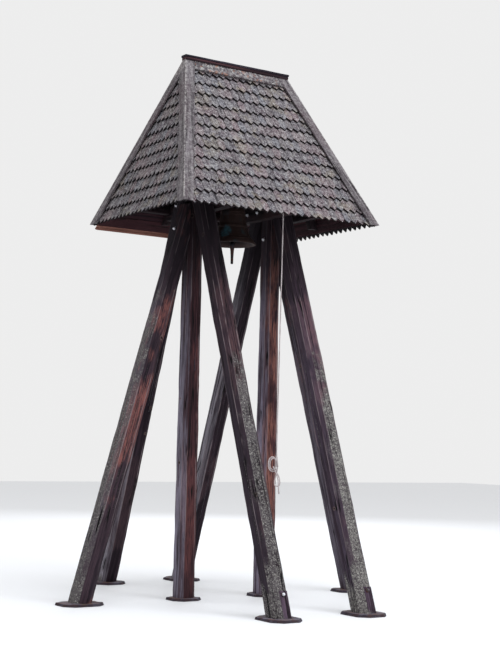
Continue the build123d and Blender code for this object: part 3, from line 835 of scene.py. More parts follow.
leg_seed = 0
foot_half = post_sizes[0] / 2
for side, side_name in ((1, "right"), (-1, "left")):
    legs = []
    post_foot = Vector((side * post_x, 0, stone_thickness))
    post_head = Vector((side * post_x, 0, ridge_beam_foot))
    legs.append((hewn_leg(side_name + "_hewn_post", post_foot, post_head, *post_sizes, (1, 1), [],
                          leg_seed), side_name + "_post",
                 right_post_wood if side > 0 else left_post_wood))
    front_wood = right_front_wood if side > 0 else left_front_wood
    for back, back_name, wood in ((-1, "front", front_wood), (1, "back", back_wood)):
        foot, head = (Vector((side * post_x, back * (front_reach - front_lean * height), height))
                      for height in (stone_thickness, strut_head_top))
        face = (Vector((0, back * foot_half, 0)), Vector((0, -back, -post_taper)))
        leg_seed += 1
        legs.append((hewn_leg(f"{side_name}_{back_name}_hewn_leg", foot, head,
                              *strut_sizes, (1, math.hypot(1, front_lean)), [face], leg_seed),
                     f"{side_name}_{back_name}_strut", wood))
    foot, head = (Vector((side * (post_x + outer_reach - outer_lean * height), 0, height))
                  for height in (stone_thickness, outer_strut_top))
    face = (Vector((side * (post_x + foot_half), 0, 0)), Vector((-side, 0, -post_taper)))
    leg_seed += 1
    legs.append((hewn_leg(side_name + "_outer_hewn_leg", foot, head, *strut_sizes,
                          (math.hypot(1, outer_lean), 1), [face], leg_seed),
                 side_name + "_outer_strut", outer_wood))
    leg_seed += 1
    for leg, node, wood in legs:
        leg.data.materials.append(wood)
        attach(leg, "frame")
        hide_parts(node)

# Beams, plates and rafters.
# Sawn and hewn pine inside the hood. The cross beams are bolted to the legs, the plates
# lie in their ends, and the rafters sit over the plates and against the ridge beam.
timber_ring_step = 0.12
timber_weld = 0.0001
timber_flat_angle = math.radians(2)
timber_edge = 0.004
timber_swell = (0.25, 0.005)
# Dark old wood, its colours darkened further as painted shade under the hood.
inner_wood, tree, wood = wooden("inner_wood")
finish_shader(inner_wood, tinted(
    mixed(spread(wood["Streaks"], 0.38, 0.62), srgb(20, 14, 18), srgb(40, 28, 32)),
    (spread(wood["Blotches"], 0.5, 0.68, 0, 0.7), srgb(54, 36, 36)),
    (wood["Cracks"], srgb(16, 12, 12))),
    roughness=0.8, bump=0.003,
    height=minus(plus(wood["Streaks"], times(wood["Fibres"], 0.4)), wood["Cracks"]))


def longest_way(piece):
    """Direction in which a piece is longest."""
    ends = [piece.data.vertices[0].co.copy()]
    for _ in range(2):
        ends.append(max((vertex.co for vertex in piece.data.vertices),
                        key=lambda place: (place - ends[-1]).length).copy())
    return (ends[2] - ends[1]).normalized()


def timbers_from(node, name, edge, swell, seed):
    """The timbers of a node with their edges eased, their faces uneven and their grain laid."""
    copy = bpy.data.objects.new(name, frame["nodes"][node].data.copy())
    bpy.context.scene.collection.objects.link(copy)
    copy.data.materials.clear()
    alone(copy)
    edit_all()
    bpy.ops.mesh.remove_doubles(threshold=timber_weld)
    bpy.ops.mesh.dissolve_limited(angle_limit=timber_flat_angle)
    bpy.ops.mesh.separate(type="LOOSE")
    stop_editing()
    parts = list(bpy.context.selected_objects)
    for number, part in enumerate(parts):
        alone(part)
        along = longest_way(part)
        edit_all()
        bpy.ops.mesh.bevel(offset=edge, segments=2)
        reach = [vertex.co.dot(along) for vertex in bmesh.from_edit_mesh(part.data).verts]
        low, length = min(reach), max(reach) - min(reach)
        cuts = int(length / timber_ring_step)
        for cut in range(1, cuts):
            bpy.ops.mesh.select_all(action="SELECT")
            bpy.ops.mesh.bisect(plane_co=along * (low + length * cut / cuts), plane_no=along)
        stop_editing()
        lay_grain(part, along, seed * 100 + number)
    whole = joined(name, parts)
    roughen(whole, *swell)
    bpy.ops.object.shade_smooth_by_angle(angle=crease_angle)
    return whole


for seed, (node, name) in enumerate((
        ("right_cross_beam", "right_hewn_beam"), ("left_cross_beam", "left_hewn_beam"),
        ("front_plate", "front_sawn_plate"), ("back_plate", "back_sawn_plate"),
        ("right_plate", "right_sawn_plate"), ("left_plate", "left_sawn_plate"),
        ("ridge_beam", "sawn_ridge_beam"), ("front_rafters", "front_sawn_rafters"),
        ("back_rafters", "back_sawn_rafters"), ("end_rafters", "end_sawn_rafters"),
        ("hip_rafters", "hip_sawn_rafters"))):
    timber = timbers_from(node, name, timber_edge, timber_swell, seed + 20)
    timber.data.materials.append(inner_wood)
    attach(timber, "frame")
    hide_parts(node)

# Roof boarding.
# Rough pine boards nailed level across the rafters, mitred at the hips. They carry the
# shingles, and their undersides show from below.
eave_length = 2.710
eave_width = 2.270
ridge_length = 1.440
eave_height = 4.452
ridge_height = 6.422
cap_thickness = 0.055
cap_seat = ridge_height - cap_thickness
under_cap = (Vector((0, 0, cap_seat)), Vector((0, 0, 1)))
cover_thickness = 0.022
shingle_butt = 0.022
shingle_base = 0.018
boarding_thickness = 0.025
boarding_setback = 0.055
back_boarding_drop = 0.022
hood_rise = ridge_height - eave_height
slope_y = eave_width / 2 / hood_rise
slope_x = (eave_length - ridge_length) / 2 / hood_rise
board_width = 0.148
board_width_change = 0.012
narrowest_board = 0.12
board_below_cap = 0.06
board_gap = 0.003
board_step = 0.001
board_chamfer = 0.002
board_spare = 0.05
lowest_back_board = 0.064
palest_board = 0.6

# Each face of the hood: the level way along its eave, the way up its slope, the way out,
# the middle of its eave, its half length there, how much shorter it gets and how far it
# rises for each metre up the slope.
faces = {}
for face_name, out, half_run, slope, half_reach, shrink in (
        ("front", Vector((0, -1, 0)), eave_length / 2, slope_y, eave_width / 2, slope_x),
        ("right", Vector((1, 0, 0)), eave_width / 2, slope_x, eave_length / 2, slope_y),
        ("back", Vector((0, 1, 0)), eave_length / 2, slope_y, eave_width / 2, slope_x),
        ("left", Vector((-1, 0, 0)), eave_width / 2, slope_x, eave_length / 2, slope_y)):
    up = (Vector((0, 0, 1)) - out * slope).normalized()
    normal = (out + Vector((0, 0, slope))).normalized()
    faces[face_name] = {
        "along": up.cross(normal), "up": up, "out": normal,
        "eave": out * half_reach + Vector((0, 0, eave_height)), "half": half_run,
        "shrink": shrink / math.hypot(1, slope), "rise": 1 / math.hypot(1, slope)}


def mitre_planes(face_name):
    """The planes in which a face's boards meet those of its neighbours."""
    names = list(faces)
    number = names.index(face_name)
    face = faces[face_name]
    planes = []
    for neighbour in (names[number - 1], names[(number + 1) % 4]):
        other = faces[neighbour]
        way = (other["out"] - face["out"]).normalized()
        end = 1 if face["along"].dot(other["out"]) > 0 else -1
        planes.append((face["eave"] + face["along"] * face["half"] * end, way))
    return planes


def slope_board(face_name, low, width, depth, seed):
    """Level board on a face, from this far up its slope, with its top this deep."""
    face = faces[face_name]
    half = face["half"] - low * face["shrink"] + board_spare
    board = start_block("board", (0, 0, 0), (2 * half, width, boarding_thickness))
    bpy.ops.mesh.bevel(offset=board_chamfer, segments=1)
    stop_editing()
    middle = (face["eave"] + face["up"] * (low + width / 2)
              - face["out"] * (depth + boarding_thickness / 2))
    board.data.transform(lined_up(middle, face["along"], face["up"], face["out"]))
    trimmed(board, *mitre_planes(face_name), under_cap)
    lay_grain(board, face["along"], seed)
    return board


# Dark old boards, their colours darkened further as painted shade under the hood.
board_wood, tree, wood = wooden("board_wood")
board_tone = marked(tree, "tone", "Fac")
finish_shader(board_wood, tinted(
    mixed(spread(wood["Streaks"], 0.38, 0.62), srgb(26, 16, 22), srgb(54, 32, 38)),
    (spread(board_tone, 0, 0.6, 0, 0.6), srgb(70, 40, 44)),
    (spread(board_tone, 0.9, 1),
     mixed(spread(wood["Streaks"], 0.35, 0.65), srgb(104, 66, 58), srgb(166, 118, 104))),
    (wood["Cracks"], srgb(16, 12, 12))),
    roughness=0.8, height=plus(wood["Streaks"], wood["Fibres"]), bump=0.002)

chance = random.Random(7)
shingle_back = cover_thickness + shingle_butt + shingle_base
for face_name in faces:
    slope_share = faces[face_name]["rise"]
    slope_length = hood_rise / slope_share
    boards = []
    low = (-back_boarding_drop if face_name == "back" else boarding_setback) / slope_share
    while low < slope_length - narrowest_board:
        width = min(board_width + chance.uniform(-board_width_change, board_width_change),
                    slope_length - board_below_cap - low)
        # The lowest back board is bare, unweathered wood, painted pale orange also as painted light
        # from the ground below.
        bare = face_name == "back" and not boards
        if bare:
            width = lowest_back_board
        board = slope_board(face_name, low, width - board_gap,
                            shingle_back + chance.uniform(0, board_step), chance.random())
        board_shade = 1.0 if bare else palest_board * chance.random() ** 2
        mark(board, "tone", lambda vertex: board_shade)
        boards.append(board)
        low += width
    boarding = joined(face_name + "_roof_boards", boards)
    boarding.data.materials.append(board_wood)
    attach(boarding, "frame")
    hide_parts(face_name + "_boarding")

# Shingles.
# Cleft pine shingles with pointed butts, tarred long ago and now grey. Thirteen courses
# lie half over each other, every second one shifted by half a shingle, each one nailed.
front_shingle_count = 28
end_shingle_count = 24
course_count = 13
course_rise = 0.146
shingle_point = 0.050
shingle_gap = 0.003
shingle_cover = 1.75
shingle_width = 0.096
shingle_exposure = 0.168
shingle_head = 0.006
shingle_chamfer = 0.0025
hair = 0.001
edge_overlap = 0.02
head_spare = 0.01

# How unevenly they were nailed, in metres and radians, and how thin the thinnest are.
slip_down = 0.0035
eave_slip_down = 0.002
slip_sideways = 0.0012
turned_on_face = 0.012
tipped_up = 0.008
tipped_sideways = 0.020
thinnest_share = 0.75
grain_shift = 30

shingle_wood, tree, wood = wooden("shingle_wood")
place = tree.nodes.new("ShaderNodeTexCoord").outputs
growth = patterned(lichen, Place=place["Object"], Facing=place["Normal"], Start=0.15, Top=9.0,
                   Amount=0.5)
shingle_tone = marked(tree, "tone", "Fac")
own_place = split(marked(tree, "own_place"))
# Painted shadow: a dark band on each shingle just below the butt of the course over it.
next_butt = minus(shingle_exposure + shingle_point, times(
    worked("ABSOLUTE", own_place["X"]), 2 * shingle_point / shingle_width))
butt_shadow_line = spread(minus(own_place["Y"], next_butt), -0.014, -0.003)
shingle_patches = clouds(place["Object"], 4, 4, 0.7)
shingle_hue = worked("FRACT", times(shingle_tone, 7.3))
finish_shader(shingle_wood, tinted(
    mixed(spread(wood["Streaks"], 0.38, 0.62), srgb(58, 49, 56), srgb(106, 98, 104)),
    (spread(shingle_hue, 0.32, 0.22, 0, 0.55), srgb(136, 104, 108)),
    (spread(shingle_hue, 0.72, 0.82, 0, 0.5), srgb(108, 116, 128)),
    (spread(shingle_patches, 0.52, 0.62, 0, 0.6), srgb(128, 114, 84)),
    (spread(shingle_patches, 0.46, 0.36, 0, 0.6), srgb(112, 82, 90)),
    (spread(shingle_tone, 0.6, 1.0, 0, 0.4), srgb(132, 124, 120)),
    (spread(shingle_tone, 0.4, 0.0, 0, 0.5), srgb(62, 52, 58)),
    (growth["Mask"],
     mixed(spread(growth["Grains"], 0.5, 0.7), srgb(102, 99, 104), srgb(150, 150, 150))),
    (spread(growth["Mottle"], 0.52, 0.60, 0, 0.65), srgb(164, 163, 162)),
    (spread(growth["Mottle"], 0.50, 0.41, 0, 0.8), srgb(38, 31, 37)),
    (times(growth["Specks"], 0.8), srgb(188, 188, 188)),
    (spread(wood["Fibres"], 0.5, 0.66, 0, 0.6), srgb(36, 30, 35)),
    (times(wood["Cracks"], 0.8), srgb(26, 22, 26)),
    (times(butt_shadow_line, 0.85), srgb(22, 17, 21)),
    # Painted shade: faces that look downwards, the butts most of all, are made nearly black.
    (spread(split(place["Normal"])["Z"], 0.1, -0.3, 0, 0.95), srgb(14, 11, 14))),
    roughness=0.85, height=plus(wood["Streaks"], times(wood["Fibres"], 0.5)), bump=0.004)


def model_shingle(width, length):
    """One shingle in its own place: point down at the origin, face up, thin at its head."""
    piece = start_block("shingle", (0, length / 2, -shingle_butt / 2),
                        (width, length, shingle_butt))
    pick(piece, "edges", lambda edge: reach_along(edge) > width / 2
         and all(vertex.co.y < hair for vertex in edge.verts))
    bpy.ops.mesh.subdivide(number_cuts=1)
    pick(piece, "verts", lambda vertex: vertex.co.y < hair and abs(vertex.co.x) > hair)
    bpy.ops.transform.translate(value=(0, shingle_point, 0))
    pick(piece, "verts", lambda vertex: vertex.co.y > length - hair and vertex.co.z < -hair)
    bpy.ops.transform.translate(value=(0, 0, shingle_butt - shingle_head))
    pick(piece, "edges", lambda edge: all(vertex.co.z > -hair and vertex.co.y < length - hair
                                          for vertex in edge.verts))
    bpy.ops.mesh.bevel(offset=shingle_chamfer, segments=1)
    stop_editing()
    mark(piece, "own_place", lambda vertex: vertex.co)
    return piece


for face_name in faces:
    face = faces[face_name]
    count = front_shingle_count if face_name in ("front", "back") else end_shingle_count
    width = 2 * face["half"] / count
    course = course_rise / face["rise"]
    model = model_shingle(width - shingle_gap, course * shingle_cover)
    lay_grain(model, Vector((0, 1, 0)), 3)
    tip = math.atan2(shingle_butt, course)
    head_shrink = course * shingle_cover * face["shrink"] + head_spare
    shingles = []
    for row in range(course_count):
        up_slope = row * course
        half = face["half"] - up_slope * face["shrink"]
        shift = 0.5 if row % 2 == 0 else 0.0
        for number in range(-count // 2 - 1, count // 2 + 1):
            along = (number + shift) * width
            if abs(along) > half + width / 2 - edge_overlap:
                continue
            shingle = bpy.data.objects.new("shingle", model.data.copy())
            bpy.context.scene.collection.objects.link(shingle)
            jog = chance.gauss(0, slip_down if row else eave_slip_down)
            middle = (face["eave"] + face["along"] * (along + chance.gauss(0, slip_sideways))
                      + face["up"] * (up_slope + abs(jog)) - face["out"] * cover_thickness)
            lie = (Matrix.Rotation(chance.gauss(0, turned_on_face), 4, "Z")
                   @ Matrix.Rotation(-tip + chance.gauss(0, tipped_up), 4, "X")
                   @ Matrix.Rotation(chance.gauss(0, tipped_sideways), 4, "Y")
                   @ Matrix.Diagonal((1, 1, chance.uniform(thinnest_share, 1.0), 1)))
            shingle.data.transform(
                lined_up(middle, face["along"], face["up"], face["out"]) @ lie)
            shade = chance.random()
            mark(shingle, "tone", lambda vertex: shade)
            move = chance.uniform(0, grain_shift)
            for entry in shingle.data.attributes["grain"].data:
                entry.vector = (entry.vector[0] + move, entry.vector[1], entry.vector[2] + move)
            if abs(along) > half - width / 2 - head_shrink:
                trimmed(shingle, *mitre_planes(face_name))
            shingles.append(shingle)
    bpy.data.objects.remove(model)
    skin = joined(face_name + "_pointed_shingles", shingles)
    trimmed(skin, under_cap)
    skin.data.materials.append(shingle_wood)
    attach(skin, "frame")
    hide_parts(face_name + "_shingles")

# Boards over hips and ridge.
# Planed boards nailed over the shingles in pairs, one on each face, mitred together along
# the hip. Two more lie under the cap on the long faces.
hip_board_width = 0.125
ridge_board_width = 0.135
cover_chamfer = 0.003
cover_rings = 24
cover_spare = 0.06
cover_swell = (0.2, 0.005)
hip_spare = 0.02
mitre_touch = 0.001


def grey_board_wood(name, growth_share, pale_share, dark_share, rusty_share):
    """Grey weathered pine with streaks, mottled by lichen, and paler along the mitres."""
    material, tree, wood = wooden(name)
    place = tree.nodes.new("ShaderNodeTexCoord").outputs
    growth = patterned(lichen, Place=place["Object"], Facing=place["Normal"], Start=0.0, Top=9.0,
                       Amount=growth_share)
    rusty = clouds(place["Object"], 14, 3, 0.7)
    bleached = times(spread(marked(tree, "mitre", "Fac"), 0.84, 0.97, 0, 0.6),
                     spread(growth["Mottle"], 0.44, 0.54))
    finish_shader(material, tinted(
        mixed(spread(wood["Streaks"], 0.38, 0.62), srgb(54, 45, 51), srgb(124, 117, 121)),
        (spread(wood["Blotches"], 0.48, 0.62, 0, 0.6), srgb(92, 74, 80)),
        (growth["Mask"],
         mixed(spread(growth["Grains"], 0.5, 0.7), srgb(104, 101, 104), srgb(154, 154, 150))),
        (spread(growth["Mottle"], 0.52, 0.60, 0, pale_share), srgb(172, 172, 168)),
        (spread(growth["Mottle"], 0.50, 0.40, 0, dark_share), srgb(42, 32, 38)),
        (spread(rusty, 0.56, 0.64, 0, rusty_share), srgb(150, 96, 66)),
        (spread(wood["Fibres"], 0.5, 0.64, 0, 0.7), srgb(40, 32, 38)),
        (wood["Cracks"], srgb(24, 20, 24)),
        (bleached, srgb(166, 162, 160))),
        roughness=0.85, height=plus(wood["Streaks"], wood["Fibres"]), bump=0.003)
    return material


cover_wood = grey_board_wood("cover_wood", 0.4, 0.35, 0.45, 0.0)
ridge_wood = grey_board_wood("ridge_wood", 0.5, 0.85, 0.8, 0.5)


def cover_board(name, face_name, start, way, inwards, length, width, cuts, seed):
    """Board on a face's outside from a start along a way, this wide towards inwards."""
    face = faces[face_name]
    board = start_block(name, (0, 0, 0), (length, width + cover_spare, cover_thickness))
    bpy.ops.mesh.bevel(offset=cover_chamfer, segments=2)
    pick(board, "edges", lambda edge: reach_along(edge) > length / 2)
    bpy.ops.mesh.subdivide(number_cuts=cover_rings)
    stop_editing()
    middle = (start + way * length / 2 + inwards * (width - cover_spare) / 2
              - face["out"] * cover_thickness / 2)
    board.data.transform(lined_up(middle, way, inwards, way.cross(inwards)))
    roughen(board, *cover_swell)
    trimmed(board, *cuts)
    lay_grain(board, way, seed)
    return board


def hip_ways(face_name, end):
    """A hip's lower corner, the way up it, and the level way from it into the face."""
    face = faces[face_name]
    hip = (face["up"] - face["along"] * end * face["shrink"]).normalized()
    inwards = face["out"].cross(hip)
    if inwards.dot(face["along"]) * end > 0:
        inwards.negate()
    return face["eave"] + face["along"] * face["half"] * end, hip, inwards


def hip_board(face_name, end, seed):
    """Board on one face along one of its hips, from the eave to under the cap."""
    face = faces[face_name]
    corner, hip, inwards = hip_ways(face_name, end)
    length = hood_rise / hip.z
    mitres = [(place, way) for place, way in mitre_planes(face_name)
              if way.dot(face["along"]) * end > 0]
    if face_name in ("left", "right"):
        mitres.append((Vector((0, 0, 0)), face["along"] * -end))
    board = cover_board("hip_board", face_name, corner - hip * hip_spare, hip, inwards,
                        length + 2 * hip_spare, hip_board_width,
                        [(Vector((0, 0, eave_height)), (0, 0, -1)), under_cap, *mitres], seed)
    mark(board, "mitre", lambda vertex: float(any(
        abs((vertex.co - place).dot(way)) < mitre_touch for place, way in mitres)))
    return board


for long_face in ("front", "back"):
    for short_face in ("right", "left"):
        long_end = 1 if faces[long_face]["along"].dot(faces[short_face]["out"]) > 0 else -1
        short_end = 1 if faces[short_face]["along"].dot(faces[long_face]["out"]) > 0 else -1
        pair = joined(f"{long_face}_{short_face}_cover_boards", [
            hip_board(long_face, long_end, chance.random()),
            hip_board(short_face, short_end, chance.random())])
        pair.data.materials.append(cover_wood)
        bpy.ops.object.shade_smooth_by_angle(angle=crease_angle)
        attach(pair, "frame")
        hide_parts(f"{long_face}_{short_face}_hip_boards")

ridge_pieces = []
for long_face in ("front", "back"):
    face = faces[long_face]
    seat = face["eave"] + face["up"] * (cap_seat - eave_height) / face["rise"]
    board_cuts = [under_cap]
    for end in (-1, 1):
        corner, hip, inwards = hip_ways(long_face, end)
        board_cuts.append((corner + inwards * (hip_board_width + mitre_touch), -inwards))
    ridge_pieces.append(cover_board(
        "ridge_board", long_face,
        seat - face["along"] * ridge_length / 2 + face["up"] * cover_spare, face["along"],
        -face["up"], ridge_length, ridge_board_width + cover_spare, board_cuts, chance.random()))
ridge_pair = joined("ridge_cover_boards", ridge_pieces)
ridge_pair.data.materials.append(ridge_wood)
bpy.ops.object.shade_smooth_by_angle(angle=crease_angle)
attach(ridge_pair, "frame")
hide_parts("ridge_boards")

# Ridge cap.
# Two boards nailed flat over the joint of the ridge boards. The upper one is tarred and
# ends a little beyond the lower one, which is bare and brown.
cap_width = 0.112
cap_overhang = 0.025
cap_top_board = 0.024
cap_chamfer = 0.006
cap_rings = 40
cap_swell = (0.18, 0.006)
bed_inset = 0.007
bed_sunk = 0.004
bed_gap = 0.001
cap_wood, tree, wood = wooden("cap_wood")
finish_shader(cap_wood, tinted(
    mixed(spread(wood["Streaks"], 0.3, 0.7), srgb(24, 20, 27), srgb(52, 46, 56)),
    (wood["Cracks"], srgb(14, 12, 14))),
    roughness=0.8, height=plus(wood["Streaks"], wood["Fibres"]), bump=0.003)
cap_bed_wood, tree, wood = wooden("cap_bed_wood")
finish_shader(cap_bed_wood, tinted(
    mixed(spread(wood["Streaks"], 0.38, 0.62), srgb(36, 24, 29), srgb(74, 48, 52)),
    (spread(wood["Blotches"], 0.5, 0.6), srgb(34, 28, 34))),
    roughness=0.9, height=wood["Streaks"], bump=0.003)


def cap_board(name, low, high, narrower, seed, wood):
    """Level board along the ridge between two heights above the seat."""
    board = start_block(name, (0, 0, cap_seat + (low + high) / 2), (
        ridge_length + 2 * (cap_overhang - narrower), cap_width - 2 * narrower, high - low))
    pick(board, "edges", lambda edge: reach_along(edge) > ridge_length / 2)
    bpy.ops.mesh.bevel(offset=cap_chamfer, segments=2)
    pick(board, "edges", lambda edge: reach_along(edge) > ridge_length / 2)
    bpy.ops.mesh.subdivide(number_cuts=cap_rings)
    stop_editing()
    lay_grain(board, Vector((1, 0, 0)), seed)
    roughen(board, *cap_swell)
    board.data.materials.append(wood)
    bpy.ops.object.shade_smooth_by_angle(angle=crease_angle)
    return board


cap = joined("nailed_ridge_cap", [
    cap_board("cap_top", cap_thickness - cap_top_board, cap_thickness, 0, 5, cap_wood),
    cap_board("cap_bed", -bed_sunk, cap_thickness - cap_top_board - bed_gap, bed_inset, 6,
              cap_bed_wood)])
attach(cap, "frame")
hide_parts("ridge_cap")

# Bolts.
# Galvanised bolts with square washers and hexagon nuts: three hold each cross beam to its
# post and struts, and one holds each outer strut to its post.
bolt_radius = 0.010
nut_radius = 0.0175
nut_height = 0.015
washer_size = 0.046
washer_thickness = 0.005
bolt_chamfer = 0.0015
bolt_turn = 0.3
bolt_end_length = nut_height * 1.5
bolt_end_middle = nut_height * 0.9
washer_sunk = 0.004
beam_inner_x = 0.359
beam_bolt_height = 4.642
outer_bolt_height = 4.322


def zinc_finish(name, patch_scale, light, dark, roughness, gloss):
    """Galvanised steel, cloudy with small patches."""
    material = new_material(name)
    tree = material.node_tree
    patches = clouds(tree.nodes.new("ShaderNodeTexCoord").outputs["Object"], patch_scale, 3)
    finish_shader(material, mixed(spread(patches, 0.35, 0.65), light, dark), roughness,
                  height=patches, bump=0.0004, metal=0.3, gloss=gloss)
    return material


zinc = zinc_finish("zinc", 120, srgb(236, 236, 242), srgb(196, 196, 204), 0.4, 0.5)
dull_zinc = zinc_finish("dull_zinc", 90, srgb(112, 108, 114), srgb(70, 60, 62), 0.7, 0.15)


def bolt_end(place, outwards):
    """Washer, nut and the bolt's end on a face that looks this way."""
    washer = start_block("washer", (0, 0, washer_thickness / 2),
                         (washer_size, washer_size, washer_thickness))
    bpy.ops.mesh.bevel(offset=bolt_chamfer, segments=2)
    stop_editing()
    washer.data.materials.append(dull_zinc)
    pieces = [washer]
    for corners, radius, height, middle, segments in (
            (6, nut_radius, nut_height, nut_height / 2, 2),
            (16, bolt_radius, bolt_end_length, bolt_end_middle, 1)):
        piece = start_shape("cylinder", vertices=corners, radius=radius, depth=height,
                            location=(0, 0, washer_thickness + middle))
        piece.data.materials.append(zinc)
        edit_all()
        bpy.ops.mesh.bevel(offset=bolt_chamfer, segments=segments)
        stop_editing()
        pieces.append(piece)
    bolt = joined("bolt", pieces)
    turn = (Vector((0, 0, 1)).rotation_difference(outwards).to_matrix().to_4x4()
            @ Matrix.Rotation(bolt_turn, 4, "Z"))
    bolt.data.transform(Matrix.Translation(place) @ turn)
    return bolt


for side, side_name in ((1, "right"), (-1, "left")):
    half = post_sizes[0] / 2 - post_taper * beam_bolt_height
    strut_half = strut_at(*strut_sizes, beam_bolt_height) / 2
    strut_y = front_reach - front_lean * beam_bolt_height
    ends = []
    inner_way, outer_way = Vector((-side, 0, 0)), Vector((side, 0, 0))
    for y, outer_half in ((-strut_y, strut_half), (0, half), (strut_y, strut_half)):
        ends.append(bolt_end(Vector((side * beam_inner_x, y, beam_bolt_height)), inner_way))
        if y:
            ends.append(bolt_end(Vector((side * (post_x + outer_half), y, beam_bolt_height)),
                                 outer_way))
    inner_x = post_x - post_sizes[0] / 2 + post_taper * outer_bolt_height
    outer_x = (post_x + outer_reach - outer_lean * outer_bolt_height
               + strut_at(*strut_sizes, outer_bolt_height) / 2 * math.hypot(1, outer_lean))
    ends.append(bolt_end(Vector((side * inner_x, 0, outer_bolt_height)), inner_way))
    ends.append(bolt_end(Vector((side * (outer_x - washer_sunk), 0, outer_bolt_height)), outer_way))
    bolts = joined(side_name + "_bolts", ends)
    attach(bolts, "frame")

# Irons.
# Forged and cast iron, black with some rust: the bearings and gudgeons, the straps that hold
# the bell to its headstock, the clapper's staple and the eye for the rope.
black_iron = new_material("black_iron")
tree = black_iron.node_tree
place = tree.nodes.new("ShaderNodeTexCoord").outputs["Object"]
iron_rust = clouds(place, 22, 5, 0.65)
iron_grain = clouds(place, 260, 3)
finish_shader(
    black_iron, mixed(spread(iron_rust, 0.45, 0.7), srgb(44, 42, 46), srgb(92, 56, 42)),
    roughness=spread(iron_rust, 0.4, 0.7, 0.45, 0.85), height=iron_grain, bump=0.001, metal=0.6)
for node in ("bearings", "headstock_irons", "clapper_staple", "lever_eye"):
    shown = frame["nodes"][node]
    shown.data.materials.clear()
    shown.data.materials.append(black_iron)

# Foot repairs.
# The feet of the two front legs have been mended: a piece of pine with a square corner is
# let into the leg's right side down to the stone, with a bolt through its upper end.
repair_low, repair_high = -0.014, 0.086
repair_length = 0.25
repair_depth = 0.050
repair_proud = 0.005
repair_spare = 0.05
repair_chamfer = 0.003
repair_swell = (0.05, 0.003)
repair_bolt_down = 0.04
repair_bolt_in = 0.040
repair_wood = leg_wood("repair_wood", srgb(50, 38, 48), srgb(94, 78, 94), srgb(98, 80, 92),
                       srgb(80, 66, 80), -0.2, 0.24, 5.0, 5.2)
repair_turn = Matrix.Rotation(-math.atan(front_lean), 4, "X")
for side, side_name in ((1, "right"), (-1, "left")):
    axis_foot = Vector((side * post_x, -(front_reach - front_lean * stone_thickness),
                        stone_thickness))
    front_way = (repair_turn @ Vector((0, -1, 0))).normalized()
    face_foot = axis_foot + front_way * strut_sizes[0] / 2
    repair = start_block(
        side_name + "_foot_repair",
        ((repair_low + repair_high) / 2, repair_depth / 2 - repair_proud,
         repair_length / 2 - repair_spare),
        (repair_high - repair_low, repair_depth, repair_length + 2 * repair_spare))
    bpy.ops.mesh.bevel(offset=repair_chamfer, segments=1)
    stop_editing()
    simply_divided(repair, 3)
    repair.data.transform(Matrix.Translation(face_foot) @ repair_turn)
    lay_grain(repair, repair_turn @ Vector((0, 0, 1)), 60 + side)
    roughen(repair, *repair_swell)
    trimmed(repair, (Vector((0, 0, stone_thickness)), (0, 0, -1)))
    repair.data.materials.append(repair_wood)
    bpy.ops.object.shade_smooth_by_angle(angle=crease_angle)
    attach(repair, "frame")
    bolt_place = face_foot + repair_turn @ Vector((
        repair_low + repair_bolt_in, -repair_proud, repair_length - repair_bolt_down))
    repair_bolt = bolt_end(bolt_place, front_way)
    repair_bolt.name = side_name + "_repair_bolt"
    repair_bolt.data.materials[0] = black_iron
    if side > 0:
        repair_bolt.data.materials[1] = dull_zinc
    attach(repair_bolt, "frame")

# Headstock and lever.
# The bell hangs from a squared timber that turns in two bearings. A lever goes through it
# and reaches out over the front leg, and its end carries the eye for the rope.
headstock_edge = 0.003
headstock_swell = (0.25, 0.003)
for node, name, seed in (("headstock", "hewn_headstock", 41),
                         ("rope_lever", "hewn_rope_lever", 42)):
    timber = timbers_from(node, name, headstock_edge, headstock_swell, seed)
    timber.data.materials.append(inner_wood)
    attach(timber, "bell")
    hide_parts(node)

# Bell.
# Cast bronze bell with raised rings round its shoulder, waist and lip, dark with age and
# with a blue-green bloom. Two cast canons on its crown hold it to the headstock.
mouth_height = 4.212
crown_top = 4.662
bell_sides = 96
cast_crease_angle = math.radians(40)
canon_radius = 0.063
canon_thickness = 0.012
canon_apart = 0.064
canon_sunk = 0.006
# Middle of a blue-green patch on the left of the waist: patina, painted brighter as a highlight.
patina_highlight_place = (-0.168, -0.118, 4.350)
bell_profile = [
    (0.2830, 0.000), (0.2835, 0.014), (0.2780, 0.024), (0.2655, 0.042), (0.2560, 0.054),
    (0.2560, 0.058), (0.2545, 0.062), (0.2480, 0.066), (0.2360, 0.078), (0.2330, 0.080),
    (0.2325, 0.084), (0.2270, 0.087), (0.2258, 0.0906), (0.2039, 0.1259), (0.1873, 0.1641),
    (0.1768, 0.200), (0.1788, 0.203), (0.1788, 0.208), (0.1762, 0.211), (0.1752, 0.217),
    (0.1768, 0.219), (0.1764, 0.223), (0.1738, 0.226), (0.1660, 0.260), (0.1580, 0.308),
    (0.1528, 0.348), (0.1550, 0.351), (0.1548, 0.356), (0.1518, 0.359), (0.1512, 0.366),
    (0.1492, 0.382), (0.1516, 0.385), (0.1512, 0.391), (0.1484, 0.394), (0.1462, 0.408),
    (0.1440, 0.420), (0.1362, 0.436), (0.1230, 0.446), (0.1080, 0.450), (0.0600, 0.452),
    (0.0020, 0.452)]
bell_inside = [
    (0.2700, 0.0000), (0.2630, 0.002), (0.2380, 0.030), (0.2110, 0.058), (0.1870, 0.092),
    (0.1690, 0.135), (0.1580, 0.180), (0.1540, 0.205), (0.1380, 0.300), (0.1280, 0.380),
    (0.1180, 0.402), (0.0980, 0.416), (0.0020, 0.418)]


